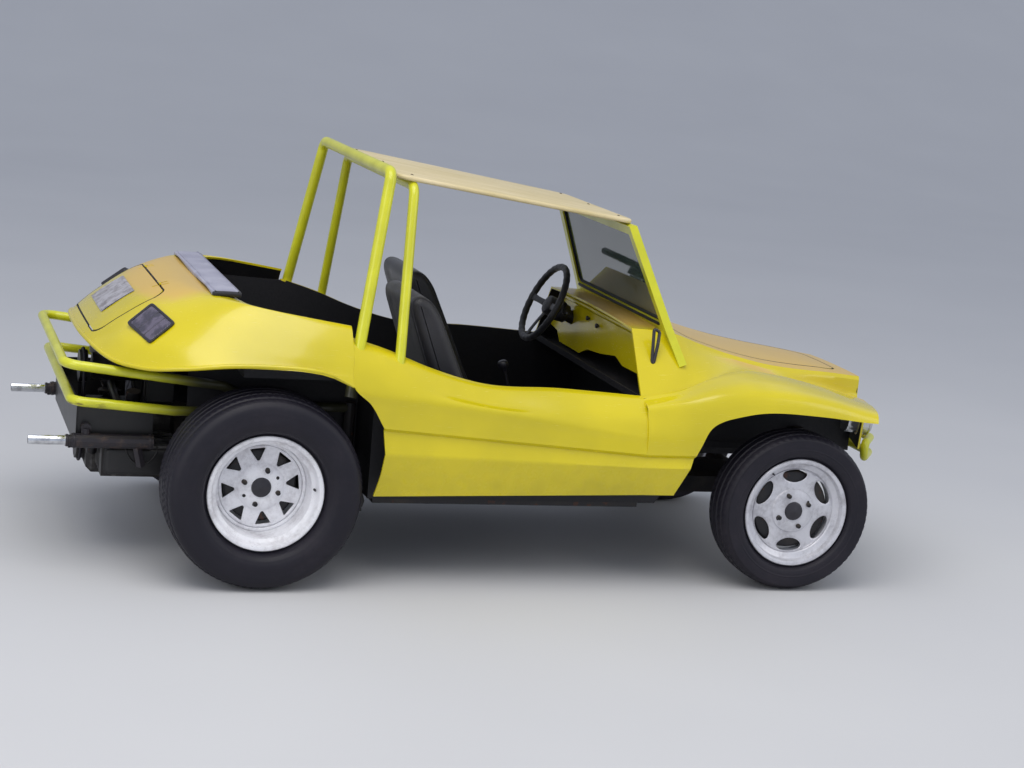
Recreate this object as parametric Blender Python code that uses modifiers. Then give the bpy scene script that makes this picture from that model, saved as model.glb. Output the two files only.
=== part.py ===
"""Dune buggy on a rear-engined floorpan, as separate solids in metres.

The nose points along +X, the car's left is +Y and the ground is z = 0.
Sections of the body are given from the nearer axle, so a change of wheelbase moves them along.
"""
import math

import bmesh
import bpy
import numpy as np
from mathutils import Matrix, Vector

# Driving dimensions
OVERALL_LENGTH = 3.34
REAR_OVERHANG = 0.80        # rear axle to the ends of the tail pipes
WHEELBASE = 2.05
BODY_HALF_WIDTH = 0.805
WALL = 0.008                # moulded skin of the body, lids and tub
GAP = 0.0003                # between pieces that seat on each other
LID_GAP = 0.007             # round a lid that opens
REAR_X = REAR_OVERHANG - OVERALL_LENGTH / 2
FRONT_X = REAR_X + WHEELBASE

# Wheels
REAR_RADIUS = 0.353
FRONT_RADIUS = 0.306
REAR_TYRE_WIDTH = 0.288
FRONT_TYRE_WIDTH = 0.185
RIM_RADIUS = 0.2085         # outside of the flanges, both axles
REAR_FLANGE_Y = 0.790
FRONT_FLANGE_Y = 0.757
REAR_RIM_WIDTH = 0.215
FRONT_RIM_WIDTH = 0.150
REAR_DISH = 0.115           # from the outer flange to the disc
FRONT_DISH = 0.040
KINGPIN_Y = 0.600
KNUCKLE_GAP = 0.006

# Lines of the body, as heights over the ground at distances from the rear axle
SEAM_REAR = 0.285           # tail to side
SEAM_FRONT = 1.420          # side to front, also the front of the cockpit opening
RIM_Y = 0.675               # inner edge of the cockpit opening
RIM_LINE = ((0.285, 0.905), (0.43, 0.862), (0.58, 0.806), (0.785, 0.753), (1.08, 0.744), (1.42, 0.724))
ARCH_REAR = ((-0.622, 0.810), (-0.60, 0.797), (-0.55, 0.770), (-0.44, 0.758), (-0.31, 0.775),
             (-0.15, 0.800), (0.0, 0.807), (0.12, 0.802), (0.20, 0.789), (0.285, 0.748))
ARCH_FRONT = ((-0.509, 0.370), (-0.437, 0.550), (-0.383, 0.641), (-0.259, 0.682), (-0.131, 0.696),
              (0.067, 0.686), (0.267, 0.668), (0.60, 0.655))

# Roof, hoops and windshield
HOOP_TUBE = 0.021
HOOP_FOOT = (0.319, 0.703, 0.914)
HOOP_TOP = (0.410, 0.590, 1.490)
POST_TUBE = 0.0185
POST_FOOT = (0.466, 0.703, 0.850)
POST_TOP = (0.505, 0.560)
POST_END = 0.70             # height at which the hoops end inside the flanks
ROOF_REAR = (0.438, 0.560, 1.4654)  # x, half width and height of the roof's underside
ROOF_FRONT = (1.402, 0.435, 1.333)
ROOF_THICK = 0.018
SCREEN_BASE = (1.540, 0.962)        # x and height of the screen's foot line
SCREEN_LEAN = math.radians(22.2)
SCREEN_DEEP = 0.030

STEER_CENTRE = (1.322, 0.330, 0.907)
STEER_TILT = math.radians(25)
STEER_RADIUS = 0.165

COLOURS = {
    "body_yellow": ((0.66, 0.56, 0.03), 0.25, 0.0),
    "tube_yellow": ((0.72, 0.72, 0.06), 0.35, 0.0),
    "roof_cream": ((0.66, 0.57, 0.36), 0.5, 0.0),
    "tub_black": ((0.012, 0.010, 0.02), 0.8, 0.0),
    "seat_black": ((0.02, 0.018, 0.03), 0.6, 0.0),
    "pad_grey": ((0.28, 0.28, 0.36), 0.8, 0.0),
    "glass": ((0.08, 0.12, 0.11), 0.1, 0.0),
    "tyre": ((0.03, 0.027, 0.04), 0.85, 0.0),
    "rim_white": ((0.75, 0.75, 0.78), 0.4, 0.0),
    "rim_silver": ((0.55, 0.55, 0.58), 0.4, 0.6),
    "steel_dark": ((0.04, 0.04, 0.045), 0.6, 0.4),
    "engine_metal": ((0.22, 0.22, 0.22), 0.5, 0.7),
    "chrome": ((0.8, 0.8, 0.8), 0.1, 1.0),
    "lamp_dark": ((0.08, 0.05, 0.06), 0.3, 0.0),
    "lamp_clear": ((0.7, 0.72, 0.75), 0.1, 0.0),
    "plate_grey": ((0.5, 0.5, 0.52), 0.4, 0.3),
}

for old in list(bpy.data.objects):
    bpy.data.objects.remove(old, do_unlink=True)
parts = bpy.data.collections.new("dune_buggy")
cutters = bpy.data.collections.new("cutters")
bpy.context.scene.collection.children.link(parts)
bpy.context.scene.collection.children.link(cutters)
materials = {}


def material(name):
    """The Principled material of one colour in COLOURS, made once."""
    if name not in materials:
        colour, roughness, metallic = COLOURS[name]
        made = bpy.data.materials.new(name)
        made.use_nodes = True
        shader = made.node_tree.nodes["Principled BSDF"]
        shader.inputs["Base Color"].default_value = (*colour, 1.0)
        shader.inputs["Roughness"].default_value = roughness
        shader.inputs["Metallic"].default_value = metallic
        made.diffuse_color = (*colour, 1.0)
        materials[name] = made
    return materials[name]


def rear(x, y, z):
    """A point given from the rear axle's line on the ground."""
    return Vector((REAR_X + x, y, z))


def front(x, y, z):
    """A point given from the front axle's line on the ground."""
    return Vector((FRONT_X + x, y, z))


def link(mesh, name, colour=None):
    """An object of a mesh, among the parts if it has a colour and among the cutters if not."""
    made = bpy.data.objects.new(name, mesh)
    if colour:
        parts.objects.link(made)
        mesh.materials.clear()
        mesh.materials.append(material(colour))
    else:
        cutters.objects.link(made)
        made.hide_render = True
        made.display_type = "WIRE"
    return made


def mesh_of(build, name):
    """A mesh filled by a function that works on a bmesh."""
    work = bmesh.new()
    build(work)
    bmesh.ops.recalc_face_normals(work, faces=work.faces[:])
    mesh = bpy.data.meshes.new(name)
    work.to_mesh(mesh)
    work.free()
    return mesh


def box(name, low, high, colour=None, bevel=0.0):
    """A block between two corners, its edges rounded by one step."""
    low = Vector(low)
    high = Vector(high)
    size = high - low
    middle = (low + high) / 2

    def build(work):
        bmesh.ops.create_cube(work, size=1.0)
        bmesh.ops.scale(work, vec=size, verts=work.verts[:])
        if bevel:
            bmesh.ops.bevel(work, geom=work.edges[:], offset=bevel, segments=1, affect="EDGES")
    made = link(mesh_of(build, name), name, colour)
    made.location = middle
    return made


def rod(name, start, end, radius, colour=None, sides=12, end_radius=None):
    """A straight round bar between two points, tapered if it has a second radius."""
    start = Vector(start)
    end = Vector(end)
    along = end - start

    def build(work):
        bmesh.ops.create_cone(work, cap_ends=True, segments=sides, radius1=radius,
                              radius2=radius if end_radius is None else end_radius, depth=along.length)
    made = link(mesh_of(build, name), name, colour)
    made.matrix_world = (Matrix.Translation((start + end) / 2)
                         @ along.to_track_quat("Z", "Y").to_matrix().to_4x4())
    return made


def hole(name, start, end, radius, sides=12, end_radius=None):
    """A cutter that clears a rod of the same direction and sides by the gap."""
    grow = GAP / math.cos(math.pi / sides)
    if end_radius is not None:
        end_radius += grow
    return rod(name, start, end, radius + grow, sides=sides, end_radius=end_radius)


def rounded(points, radius, steps=2, cyclic=False):
    """The points of a path whose corners are arcs of one radius."""
    points = [Vector(point) for point in points]
    path = []
    count = len(points)
    for index, corner in enumerate(points):
        if not cyclic and index in (0, count - 1):
            path.append(corner)
            continue
        back = (points[index - 1] - corner).normalized()
        ahead = (points[(index + 1) % count] - corner).normalized()
        half = back.angle(ahead) / 2
        reach = radius / math.tan(half)
        centre = corner + (back + ahead).normalized() * radius / math.sin(half)
        first = corner + back * reach - centre
        last = corner + ahead * reach - centre
        turn = first.angle(last)
        for step in range(steps + 1):
            share = step / steps
            path.append(centre + (first * math.sin((1 - share) * turn)
                                  + last * math.sin(share * turn)) / math.sin(turn))
    return path


def tube(name, path, radius, colour=None, cyclic=False, sides=1):
    """A bent tube along a path, as a curve with a round bevel and closed ends."""
    curve = bpy.data.curves.new(name, "CURVE")
    curve.dimensions = "3D"
    curve.bevel_depth = radius
    curve.bevel_resolution = sides
    curve.use_fill_caps = not cyclic
    spline = curve.splines.new("POLY")
    spline.points.add(len(path) - 1)
    for point, place in zip(spline.points, path):
        point.co = (*place, 1.0)
    spline.use_cyclic_u = cyclic
    source = bpy.data.objects.new(name + "_path", curve)
    cutters.objects.link(source)
    bpy.context.view_layer.update()
    mesh = bpy.data.meshes.new_from_object(source.evaluated_get(bpy.context.evaluated_depsgraph_get()))
    bpy.data.objects.remove(source, do_unlink=True)
    work = bmesh.new()
    work.from_mesh(mesh)
    bmesh.ops.remove_doubles(work, verts=work.verts[:], dist=1e-5)
    bmesh.ops.recalc_face_normals(work, faces=work.faces[:])
    work.to_mesh(mesh)
    work.free()
    return link(mesh, name, colour)


def plate(name, outlines, thickness, colour=None, place=None):
    """A flat sheet from closed outlines in its own XY plane, the first one outside and the rest holes.

    place is the matrix that puts the sheet's plane where it belongs; the sheet is centred on it.
    """
    curve = bpy.data.curves.new(name, "CURVE")
    curve.dimensions = "2D"
    curve.fill_mode = "BOTH"
    curve.extrude = thickness / 2
    for outline in outlines:
        spline = curve.splines.new("POLY")
        spline.points.add(len(outline) - 1)
        for point, (across, up) in zip(spline.points, outline):
            point.co = (across, up, 0.0, 1.0)
        spline.use_cyclic_u = True
    source = bpy.data.objects.new(name + "_outline", curve)
    cutters.objects.link(source)
    bpy.context.view_layer.update()
    mesh = bpy.data.meshes.new_from_object(source.evaluated_get(bpy.context.evaluated_depsgraph_get()))
    bpy.data.objects.remove(source, do_unlink=True)
    work = bmesh.new()
    work.from_mesh(mesh)
    bmesh.ops.remove_doubles(work, verts=work.verts[:], dist=1e-6)
    bmesh.ops.recalc_face_normals(work, faces=work.faces[:])
    work.to_mesh(mesh)
    work.free()
    made = link(mesh, name, colour)
    if place is not None:
        made.matrix_world = place
    return made


def side_profile(name, outline, half_width, colour=None, centre_y=0.0):
    """A solid whose outline lies in the XZ plane, running across the car."""
    stand = Matrix.Translation((0.0, centre_y, 0.0)) @ Matrix.Rotation(math.pi / 2, 4, "X")
    return plate(name, [outline], 2 * half_width, colour, stand)


def turned(name, profile, steps, colour=None, place=None):
    """A ring or wheel from a profile of (radius, along) points, turned round its Z axis.

    The profile closes on itself unless it starts and ends on the axis.
    """
    mesh = bpy.data.meshes.new(name)
    count = len(profile)
    closes = profile[0][0] > 0.0
    edges = [(index, (index + 1) % count) for index in range(count if closes else count - 1)]
    mesh.from_pydata([(radius, 0.0, along) for radius, along in profile], edges, [])
    made = link(mesh, name, colour)
    screw = made.modifiers.new("Turn", "SCREW")
    screw.axis = "Z"
    screw.steps = steps
    screw.render_steps = steps
    screw.use_merge_vertices = True
    screw.merge_threshold = 1e-5
    screw.use_normal_calculate = True
    apply(made)
    if place is not None:
        made.matrix_world = place
    return made


def skin(name, grid, wall, colour):
    """A moulded skin: a grid of points as its outer face, thickened inwards."""
    rows, columns = grid.shape[:2]
    corners = [(row * columns + column, row * columns + column + 1,
                (row + 1) * columns + column + 1, (row + 1) * columns + column)
               for row in range(rows - 1) for column in range(columns - 1)]
    mesh = bpy.data.meshes.new(name)
    mesh.from_pydata([tuple(point) for point in grid.reshape(-1, 3)], [], corners)
    inside = Vector(grid.reshape(-1, 3).mean(axis=0)) * Vector((1.0, 0.0, 1.0))
    if sum(face.normal.dot(face.center - inside) * face.area for face in mesh.polygons) < 0:
        mesh.flip_normals()
    made = link(mesh, name, colour)
    solid = made.modifiers.new("Wall", "SOLIDIFY")
    solid.thickness = wall
    solid.offset = -1.0
    solid.use_even_offset = True
    apply(made)
    return made


def apply(made):
    """Turn an object's modifiers into its mesh and set its normals outwards."""
    bpy.context.view_layer.update()
    colour = made.data.materials[0] if made.data.materials else None
    mesh = bpy.data.meshes.new_from_object(made.evaluated_get(bpy.context.evaluated_depsgraph_get()))
    made.modifiers.clear()
    made.data = mesh
    work = bmesh.new()
    work.from_mesh(mesh)
    bmesh.ops.recalc_face_normals(work, faces=work.faces[:])
    work.to_mesh(mesh)
    work.free()
    mesh.materials.clear()
    if colour:
        mesh.materials.append(colour)


def combine(made, others, operation="UNION"):
    """Join solids to an object, cut them from it or keep what they share, and remove them."""
    for other in others:
        change = made.modifiers.new(other.name, "BOOLEAN")
        change.operation = operation
        change.solver = "EXACT"
        change.object = other
        apply(made)
        bpy.data.objects.remove(other, do_unlink=True)
    return made


def mirrored(made, name):
    """A copy of a solid on the other side of the car."""
    mesh = made.data.copy()
    mesh.transform(Matrix.Scale(-1, 4, (0, 1, 0)) @ made.matrix_world)
    mesh.flip_normals()
    twin = bpy.data.objects.new(name, mesh)
    parts.objects.link(twin)
    return twin


def smooth(rows, at):
    """Catmull-Rom through rows at 0, 1, 2 and so on, read at the numbers given."""
    rows = np.asarray(rows, float)
    last = len(rows) - 1
    ends = np.concatenate([[2 * rows[0] - rows[1]], rows, [2 * rows[-1] - rows[-2]]])
    read = []
    for place in at:
        index = min(int(place), last - 1)
        share = place - index
        before, here, there, after = ends[index:index + 4]
        read.append(0.5 * (2 * here + (there - before) * share
                           + (2 * before - 5 * here + 4 * there - after) * share ** 2
                           + (3 * here - before - 3 * there + after) * share ** 3))
    return np.array(read)


def line_at(line, x):
    """The height at one x of a smooth line through (x, z) points."""
    along, height = np.array(line, float).T
    slope = np.gradient(height, along)
    index = int(np.clip(np.searchsorted(along, x) - 1, 0, len(along) - 2))
    span = along[index + 1] - along[index]
    share = min(max((x - along[index]) / span, 0.0), 1.0)
    rise = height[index + 1] - height[index]
    start = slope[index] * span - rise
    end = rise - slope[index + 1] * span
    return float(height[index] + share * rise + share * (1 - share) * ((1 - share) * start + share * end))


def surface_point(body, start, direction):
    """Where a ray meets a solid."""
    bpy.context.view_layer.update()
    depsgraph = bpy.context.evaluated_depsgraph_get()
    inward = body.matrix_world.inverted()
    hit, place, _, _ = body.evaluated_get(depsgraph).ray_cast(inward @ Vector(start), inward.to_3x3() @ direction)
    return body.matrix_world @ place if hit else Vector(start)


def set_origin(made, point):
    """Put an object's origin at a point without moving its mesh."""
    made.data.transform(Matrix.Translation(-point))
    made.matrix_world = Matrix.Translation(point)


# Tail: rows round the rear, each a superellipse in plan from the rear seam to the rearmost point

TAIL_ROWS = (
    # rear_x, half_width, rear_z, front_z, corner
    (-0.100, 0.675, 0.992, 0.945, 5.5),
    (-0.180, 0.683, 1.006, 0.943, 4.2),
    (-0.290, 0.702, 1.008, 0.930, 3.0),
    (-0.415, 0.738, 0.965, 0.885, 2.7),
    (-0.520, 0.770, 0.893, 0.830, 2.7),
    (-0.580, 0.792, 0.840, 0.785, 2.8),
    (-0.622, 0.805, 0.810, 0.748, 2.9),
)
TAIL_COLUMNS = 13


def tail_grid():
    """The outside of the tail from the cockpit's rear rim to the lip over the wheels."""
    rows = []
    for number, (rear_x, half_width, rear_z, front_z, corner) in enumerate(TAIL_ROWS):
        row = []
        for column in range(-TAIL_COLUMNS, TAIL_COLUMNS + 1):
            turn = abs(column) / TAIL_COLUMNS * math.pi / 2
            x = SEAM_REAR - (SEAM_REAR - rear_x) * math.cos(turn) ** (2 / corner)
            y = half_width * math.sin(turn) ** (2 / corner) * (1 if column > 0 else -1)
            share = max(x - rear_x, 0.0) / (SEAM_REAR - rear_x)
            z = rear_z + (front_z - rear_z) * share ** 1.2
            if number == len(TAIL_ROWS) - 1:
                z = line_at(ARCH_REAR, x)
            row.append((REAR_X + x, y * BODY_HALF_WIDTH / TAIL_ROWS[-1][1], z))
        rows.append(row)
    return smooth(rows, [step * 2 / 3 for step in range(10)])


def lid_frame(centre, tilt):
    """The plane of a lid: its middle and its fall from the front to the rear, in radians."""
    return Matrix.Translation(centre) @ Matrix.Rotation(tilt, 4, "Y")


def lid_outline(rear_half, front_half, rear_end, front_end, grow):
    """A lid's outline in its own plane, with cut corners."""
    cut = 0.045
    right = [(rear_end - grow + cut, -rear_half - grow), (front_end + grow - cut, -front_half - grow),
             (front_end + grow, -front_half - grow + cut)]
    first = [(rear_end - grow, -rear_half - grow + cut)]
    return first + right + [(x, -y) for x, y in reversed(right)] + [(x, -y) for x, y in first]


REAR_LID_CENTRE = rear(-0.455, 0.0, 0.93)
REAR_LID_TILT = math.radians(-42)
REAR_LID = (0.330, 0.355, -0.158, 0.125)
FRONT_HOOD_CENTRE = front(0.0, 0.0, 0.82)
FRONT_HOOD_TILT = math.radians(11)
FRONT_HOOD = (0.395, 0.195, -0.420, 0.375)


def lid(body, name, centre, tilt, sizes, colour):
    """Cut a lid out of a body's skin and return it, with a gap all round."""
    place = lid_frame(centre, tilt)
    keep = plate(name + "_keep", [lid_outline(*sizes, 0.0)], 0.40, place=place)
    piece = bpy.data.objects.new(name, body.data.copy())
    parts.objects.link(piece)
    combine(piece, [keep], "INTERSECT")
    opening = plate(name + "_opening", [lid_outline(*sizes, LID_GAP)], 0.40, place=place)
    combine(body, [opening], "DIFFERENCE")
    piece.data.materials.clear()
    piece.data.materials.append(material(colour))
    return piece


HINGE_Y = 0.215
HINGE_BARREL = 0.006
HINGE_LEAF = 0.034


def add_hinges(piece, body, place, edge, toward):
    """Two strap hinges over the gap at a lid's edge, half on the lid and half on the body."""
    normal = (place.to_3x3() @ Vector((0.0, 0.0, 1.0))).normalized()
    on_lid = []
    on_body = []
    for hand in (-1, 1):
        back = surface_point(body, place @ Vector((edge - toward * 0.014, hand * HINGE_Y, 0.2)), -normal)
        ahead = surface_point(piece, place @ Vector((edge + toward * 0.010, hand * HINGE_Y, 0.2)), -normal)
        along = (ahead - back).normalized()
        across = normal.cross(along).normalized()
        up = along.cross(across).normalized()
        centre = (back + ahead) / 2 + up * (HINGE_BARREL + 0.002)
        stand = Matrix.Translation(centre) @ Matrix((along, across, up)).transposed().to_4x4()
        leaf_low = -HINGE_BARREL - 0.006
        for low, high, group, side in ((-0.011, 0.011, on_lid, 1), (-0.027, -0.011 - GAP, on_body, -1),
                                       (0.011 + GAP, 0.027, on_body, -1)):
            group.append(rod("barrel", stand @ Vector((0, low, 0)), stand @ Vector((0, high, 0)),
                             HINGE_BARREL, sides=8))
            ends = sorted((side * 0.001, side * HINGE_LEAF))
            leaf = box("leaf", (ends[0], low + 0.001, leaf_low), (ends[1], high - 0.001, -0.001))
            leaf.matrix_world = stand @ Matrix.Translation(leaf.location)
            group.append(leaf)
    combine(piece, on_lid)
    combine(body, on_body)
    set_origin(piece, Vector((centre.x, 0.0, centre.z)))


# Side: rows from the cockpit's rim down to the sill, from the rear arch to the front seam

SIDE_ROWS = (
    # start_x, start_z, end_z, start_inset, end_inset
    (0.285, 0.893, 0.712, 0.095, 0.095),
    (0.285, 0.845, 0.665, 0.040, 0.040),
    (0.285, 0.748, 0.600, 0.000, 0.018),
    (0.352, 0.684, 0.564, 0.001, 0.014),
    (0.404, 0.602, 0.527, 0.004, 0.010),
    (0.406, 0.590, 0.515, 0.016, 0.022),
    (0.415, 0.508, 0.478, 0.002, 0.008),
    (0.407, 0.420, 0.420, 0.022, 0.024),
    (0.392, 0.345, 0.367, 0.042, 0.044),
)
SIDE_COLUMNS = 16


def side_grid():
    """The outside of the right flank, rim first."""
    rim = []
    for column in range(SIDE_COLUMNS + 1):
        x = SEAM_REAR + (SEAM_FRONT - SEAM_REAR) * column / SIDE_COLUMNS
        rim.append((REAR_X + x, -RIM_Y, line_at(RIM_LINE, x)))
    rows = [rim]
    for number, (start_x, start_z, end_z, start_inset, end_inset) in enumerate(SIDE_ROWS):
        row = []
        for column in range(SIDE_COLUMNS + 1):
            share = column / SIDE_COLUMNS
            x = start_x + (SEAM_FRONT - start_x) * share
            z = start_z + (end_z - start_z) * share
            if number < 2:
                z = line_at(RIM_LINE, x) + start_z - RIM_LINE[0][1]
            inset = start_inset + (end_inset - start_inset) * share
            row.append((REAR_X + x, inset - BODY_HALF_WIDTH, z))
        rows.append(row)
    return np.array(rows)


# Front: sections from the cowl to the nose, each from the hood's middle out to the sill

FRONT_SECTIONS = (
    # x, hood_z, edge_y, edge_z, valley_y, valley_z, crown_y, crown_z, shoulder_z
    (-0.645, 0.962, 0.505, 0.950, 0.675, 0.724, 0.710, 0.712, 0.665),
    (-0.490, 0.955, 0.500, 0.940, 0.645, 0.745, 0.695, 0.742, 0.685),
    (-0.345, 0.912, 0.455, 0.893, 0.600, 0.790, 0.670, 0.788, 0.722),
    (-0.200, 0.868, 0.415, 0.850, 0.520, 0.808, 0.630, 0.808, 0.740),
    (-0.030, 0.828, 0.375, 0.810, 0.440, 0.780, 0.590, 0.792, 0.738),
    (0.140, 0.800, 0.325, 0.785, 0.365, 0.735, 0.560, 0.764, 0.722),
    (0.290, 0.780, 0.280, 0.769, 0.310, 0.700, 0.530, 0.730, 0.705),
    (0.453, 0.752, 0.238, 0.748, 0.260, 0.660, 0.500, 0.690, 0.690),
)
NOSE_HALF = 0.24            # the nose is square across this half width
NOSE_SWEEP = 0.31           # how fast the fenders' front edges fall back beside it
SWEEP_START = -0.030        # from the front axle, where the sections start to lean back
APRON_Z = 0.500
SILL_FRONT_Z = 0.367


def front_section(x, hood_z, edge_y, edge_z, valley_y, valley_z, crown_y, crown_z, shoulder_z):
    """Half a section, from the middle of the hood down to the sill."""
    outer = BODY_HALF_WIDTH
    return [(x, 0.0, hood_z), (x, edge_y * 0.62, hood_z * 0.65 + edge_z * 0.35), (x, edge_y, edge_z),
            (x, edge_y + 0.012, edge_z - 0.014), (x, valley_y, valley_z),
            (x, (valley_y + crown_y) / 2, (valley_z + crown_z) / 2 + 0.006), (x, crown_y, crown_z),
            (x, (crown_y + outer) / 2, (crown_z + shoulder_z) / 2 + 0.012), (x, outer - 0.030, shoulder_z),
            (x, outer - 0.010, 0.600), (x, outer - 0.010, 0.527), (x, outer - 0.022, 0.515),
            (x, outer - 0.008, 0.478), (x, outer - 0.044, SILL_FRONT_Z)]


def front_grid():
    """The outside of the nose, hood and fenders, and of the front face below them."""
    sections = [front_section(*row) for row in FRONT_SECTIONS]
    sections = [list(section) for section in smooth(sections, [step / 1.5 for step in range(11)])[:-1]]
    sections.append(front_section(*FRONT_SECTIONS[-1]))
    last_x = FRONT_SECTIONS[-1][0]
    swept = []
    for section in sections:
        swept.append([])
        for x, y, z in section:
            share = max((x - SWEEP_START) / (last_x - SWEEP_START), 0.0) ** 1.5
            swept[-1].append((x - max(y - NOSE_HALF, 0.0) * NOSE_SWEEP * share, y, z))
    sections = swept + [[(x - 0.012, y, min(APRON_Z + (z - 0.6) * 0.05, z - 0.020)) for x, y, z in swept[-1]]]
    grid = []
    for section in sections:
        right = [(FRONT_X + x, -y, z) for x, y, z in section]
        left = [(FRONT_X + x, y, z) for x, y, z in section[1:]]
        grid.append(list(reversed(right)) + left)
    return np.array(grid)


def build_body():
    """The yellow body: tail, sides and front, with the two lids cut from them."""
    tail = skin("tail_body", tail_grid(), WALL, "body_yellow")
    rear_lid = lid(tail, "rear_lid", REAR_LID_CENTRE, REAR_LID_TILT, REAR_LID, "body_yellow")
    side = skin("side_right", side_grid(), WALL, "body_yellow")
    combine(side, [box("rim_trim", (-2.0, -RIM_Y, 0.0), (2.0, 0.0, 1.5))], "DIFFERENCE")
    nose = skin("front_body", front_grid(), WALL, "body_yellow")
    for name, hand in (("arch_right", -1), ("arch_left", 1)):
        outline = [(FRONT_X + x, z) for x, z in ARCH_FRONT]
        outline = [(outline[0][0], 0.20)] + outline + [(outline[-1][0], 0.20)]
        arch = side_profile(name, outline, 0.20, centre_y=hand * 0.70)
        combine(nose, [arch], "DIFFERENCE")
    hood = lid(nose, "front_hood", FRONT_HOOD_CENTRE, FRONT_HOOD_TILT, FRONT_HOOD, "body_yellow")
    add_hinges(rear_lid, tail, lid_frame(REAR_LID_CENTRE, REAR_LID_TILT), REAR_LID[3] + LID_GAP / 2, -1)
    add_hinges(hood, nose, lid_frame(FRONT_HOOD_CENTRE, FRONT_HOOD_TILT), FRONT_HOOD[2] - LID_GAP / 2, 1)
    return tail, side, nose, rear_lid, hood


def seam(body, x, keep_ahead):
    """Trim a body to one side of a plane across the car, leaving half the gap."""
    if keep_ahead:
        cut = box("trim", (x - 1.0, -1.2, -0.2), (x + GAP / 2, 1.2, 1.8))
    else:
        cut = box("trim", (x - GAP / 2, -1.2, -0.2), (x + 1.0, 1.2, 1.8))
    combine(body, [cut], "DIFFERENCE")


# Cockpit tub, chassis and what stands on them

TUB_Y = RIM_Y - GAP
TUB_FLOOR = 0.315
TRAY_Z = 0.745
TUB_REAR = -0.085
TUB_STEP = 0.392            # wall between the rear tray and the floor
TOE_X = 1.600
TUNNEL_HALF = 0.075
TUNNEL_TOP = 0.430
TORSION_X = 0.380
TORSION_Z = 0.262
TORSION_RADIUS = 0.045
TORSION_HALF = 0.500
TOWER_TOP = 0.620
TOWER_X = 0.358
TOWER_Y = 0.440
TOWER_TUBE = 0.022


def tub_outline(inset):
    """The tub in side view; inset moves floor and ends inwards and opens the top."""
    outline = [(TUB_REAR + inset, TRAY_Z + inset), (TUB_STEP + inset, TRAY_Z + inset),
               (TUB_STEP + inset, TUB_FLOOR + inset), (TOE_X - 0.10 - inset, TUB_FLOOR + inset),
               (TOE_X - inset, 0.46)]
    if inset:
        outline += [(TOE_X - inset, 0.70), (SEAM_FRONT - 0.022, 0.70), (SEAM_FRONT - 0.022, 1.2),
                    (TUB_REAR + inset, 1.2)]
    else:
        outline += [(TOE_X, 0.708), (SEAM_FRONT - 0.012, 0.708)]
        for step in range(15):
            x = SEAM_FRONT - 0.014 - step / 14 * (SEAM_FRONT - 0.320)
            outline.append((x, line_at(RIM_LINE, x) - 0.001))
        outline += [(0.300, 0.888), (0.280, 0.900), (0.0, 0.912), (TUB_REAR, 0.925)]
    return [(REAR_X + x, z) for x, z in outline]


def build_tub():
    """The black inner tub, with the tunnel raised in its floor."""
    tub = side_profile("cockpit_tub", tub_outline(0.0), TUB_Y, "tub_black")
    combine(tub, [side_profile("tub_inside", tub_outline(WALL), TUB_Y - WALL)], "DIFFERENCE")
    floor = TUB_FLOOR + WALL - 0.002
    tunnel = side_profile("tunnel", [(REAR_X + TUB_STEP + 0.006, floor), (REAR_X + TOE_X - 0.105, floor),
                                     (REAR_X + TOE_X - 0.075, TUNNEL_TOP - 0.04),
                                     (REAR_X + TOE_X - 0.13, TUNNEL_TOP),
                                     (REAR_X + TUB_STEP + 0.006, TUNNEL_TOP)], TUNNEL_HALF)
    return combine(tub, [tunnel])


LINER_Y = 0.410             # inner side of the panels between the rear wheels and the engine


def build_liners():
    """The flat panels that close the rear arches inwards, hung from the tray and the tub's step."""
    for hand, name in ((-1, "arch_liner_right"), (1, "arch_liner_left")):
        low_y, high_y = sorted((hand * LINER_Y, hand * (LINER_Y + 0.004)))
        box(name, rear(-0.240, low_y, 0.405), rear(TUB_STEP - GAP, high_y, TRAY_Z - GAP), "tub_black")


def build_chassis():
    """The floorpan: pan, backbone, frame head, torsion tube, rear fork and the towers beside it."""
    top = TUB_FLOOR - GAP
    frame = box("chassis", rear(0.43, -0.60, top - 0.035), rear(1.46, 0.60, top), "steel_dark")
    beam_back = BEAM_X - BEAM_TUBE - GAP
    pieces = [
        box("backbone", rear(0.36, -0.07, 0.225), rear(1.62, 0.07, top - 0.01)),
        box("frame_head", rear(1.55, -0.16, 0.235), front(beam_back - 0.008, 0.16, 0.300)),
        box("head_post", front(beam_back - 0.028, -0.10, 0.235), front(beam_back, 0.10, 0.430)),
        rod("torsion_tube", rear(TORSION_X, -TORSION_HALF, TORSION_Z),
            rear(TORSION_X, TORSION_HALF, TORSION_Z), TORSION_RADIUS),
    ]
    for hand in (-1, 1):
        pieces.append(tube("fork", rounded([rear(0.42, hand * 0.10, 0.27), rear(0.26, hand * 0.20, 0.27),
                                            rear(-0.10, hand * 0.20, 0.27)], 0.08), 0.030))
        pieces.append(rod("tower", rear(TOWER_X, hand * TOWER_Y, TORSION_Z),
                          rear(TOWER_X, hand * TOWER_Y, TOWER_TOP), TOWER_TUBE))
    return combine(frame, pieces)


def build_tank():
    """The fuel tank under the hood, on the post of the frame head: its seam's flange, neck and cap."""
    tank = box("fuel_tank", front(-0.438, -0.340, 0.430 + GAP), front(0.200, 0.340, 0.650), "steel_dark",
               bevel=0.03)
    combine(tank, [box("seam", front(-0.444, -0.346, 0.538), front(0.206, 0.346, 0.544)),
                   rod("neck", front(-0.05, 0.18, 0.630), front(-0.05, 0.18, 0.690), 0.030, sides=16),
                   rod("cap", front(-0.05, 0.18, 0.684), front(-0.05, 0.18, 0.702), 0.040, sides=16)])


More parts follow.
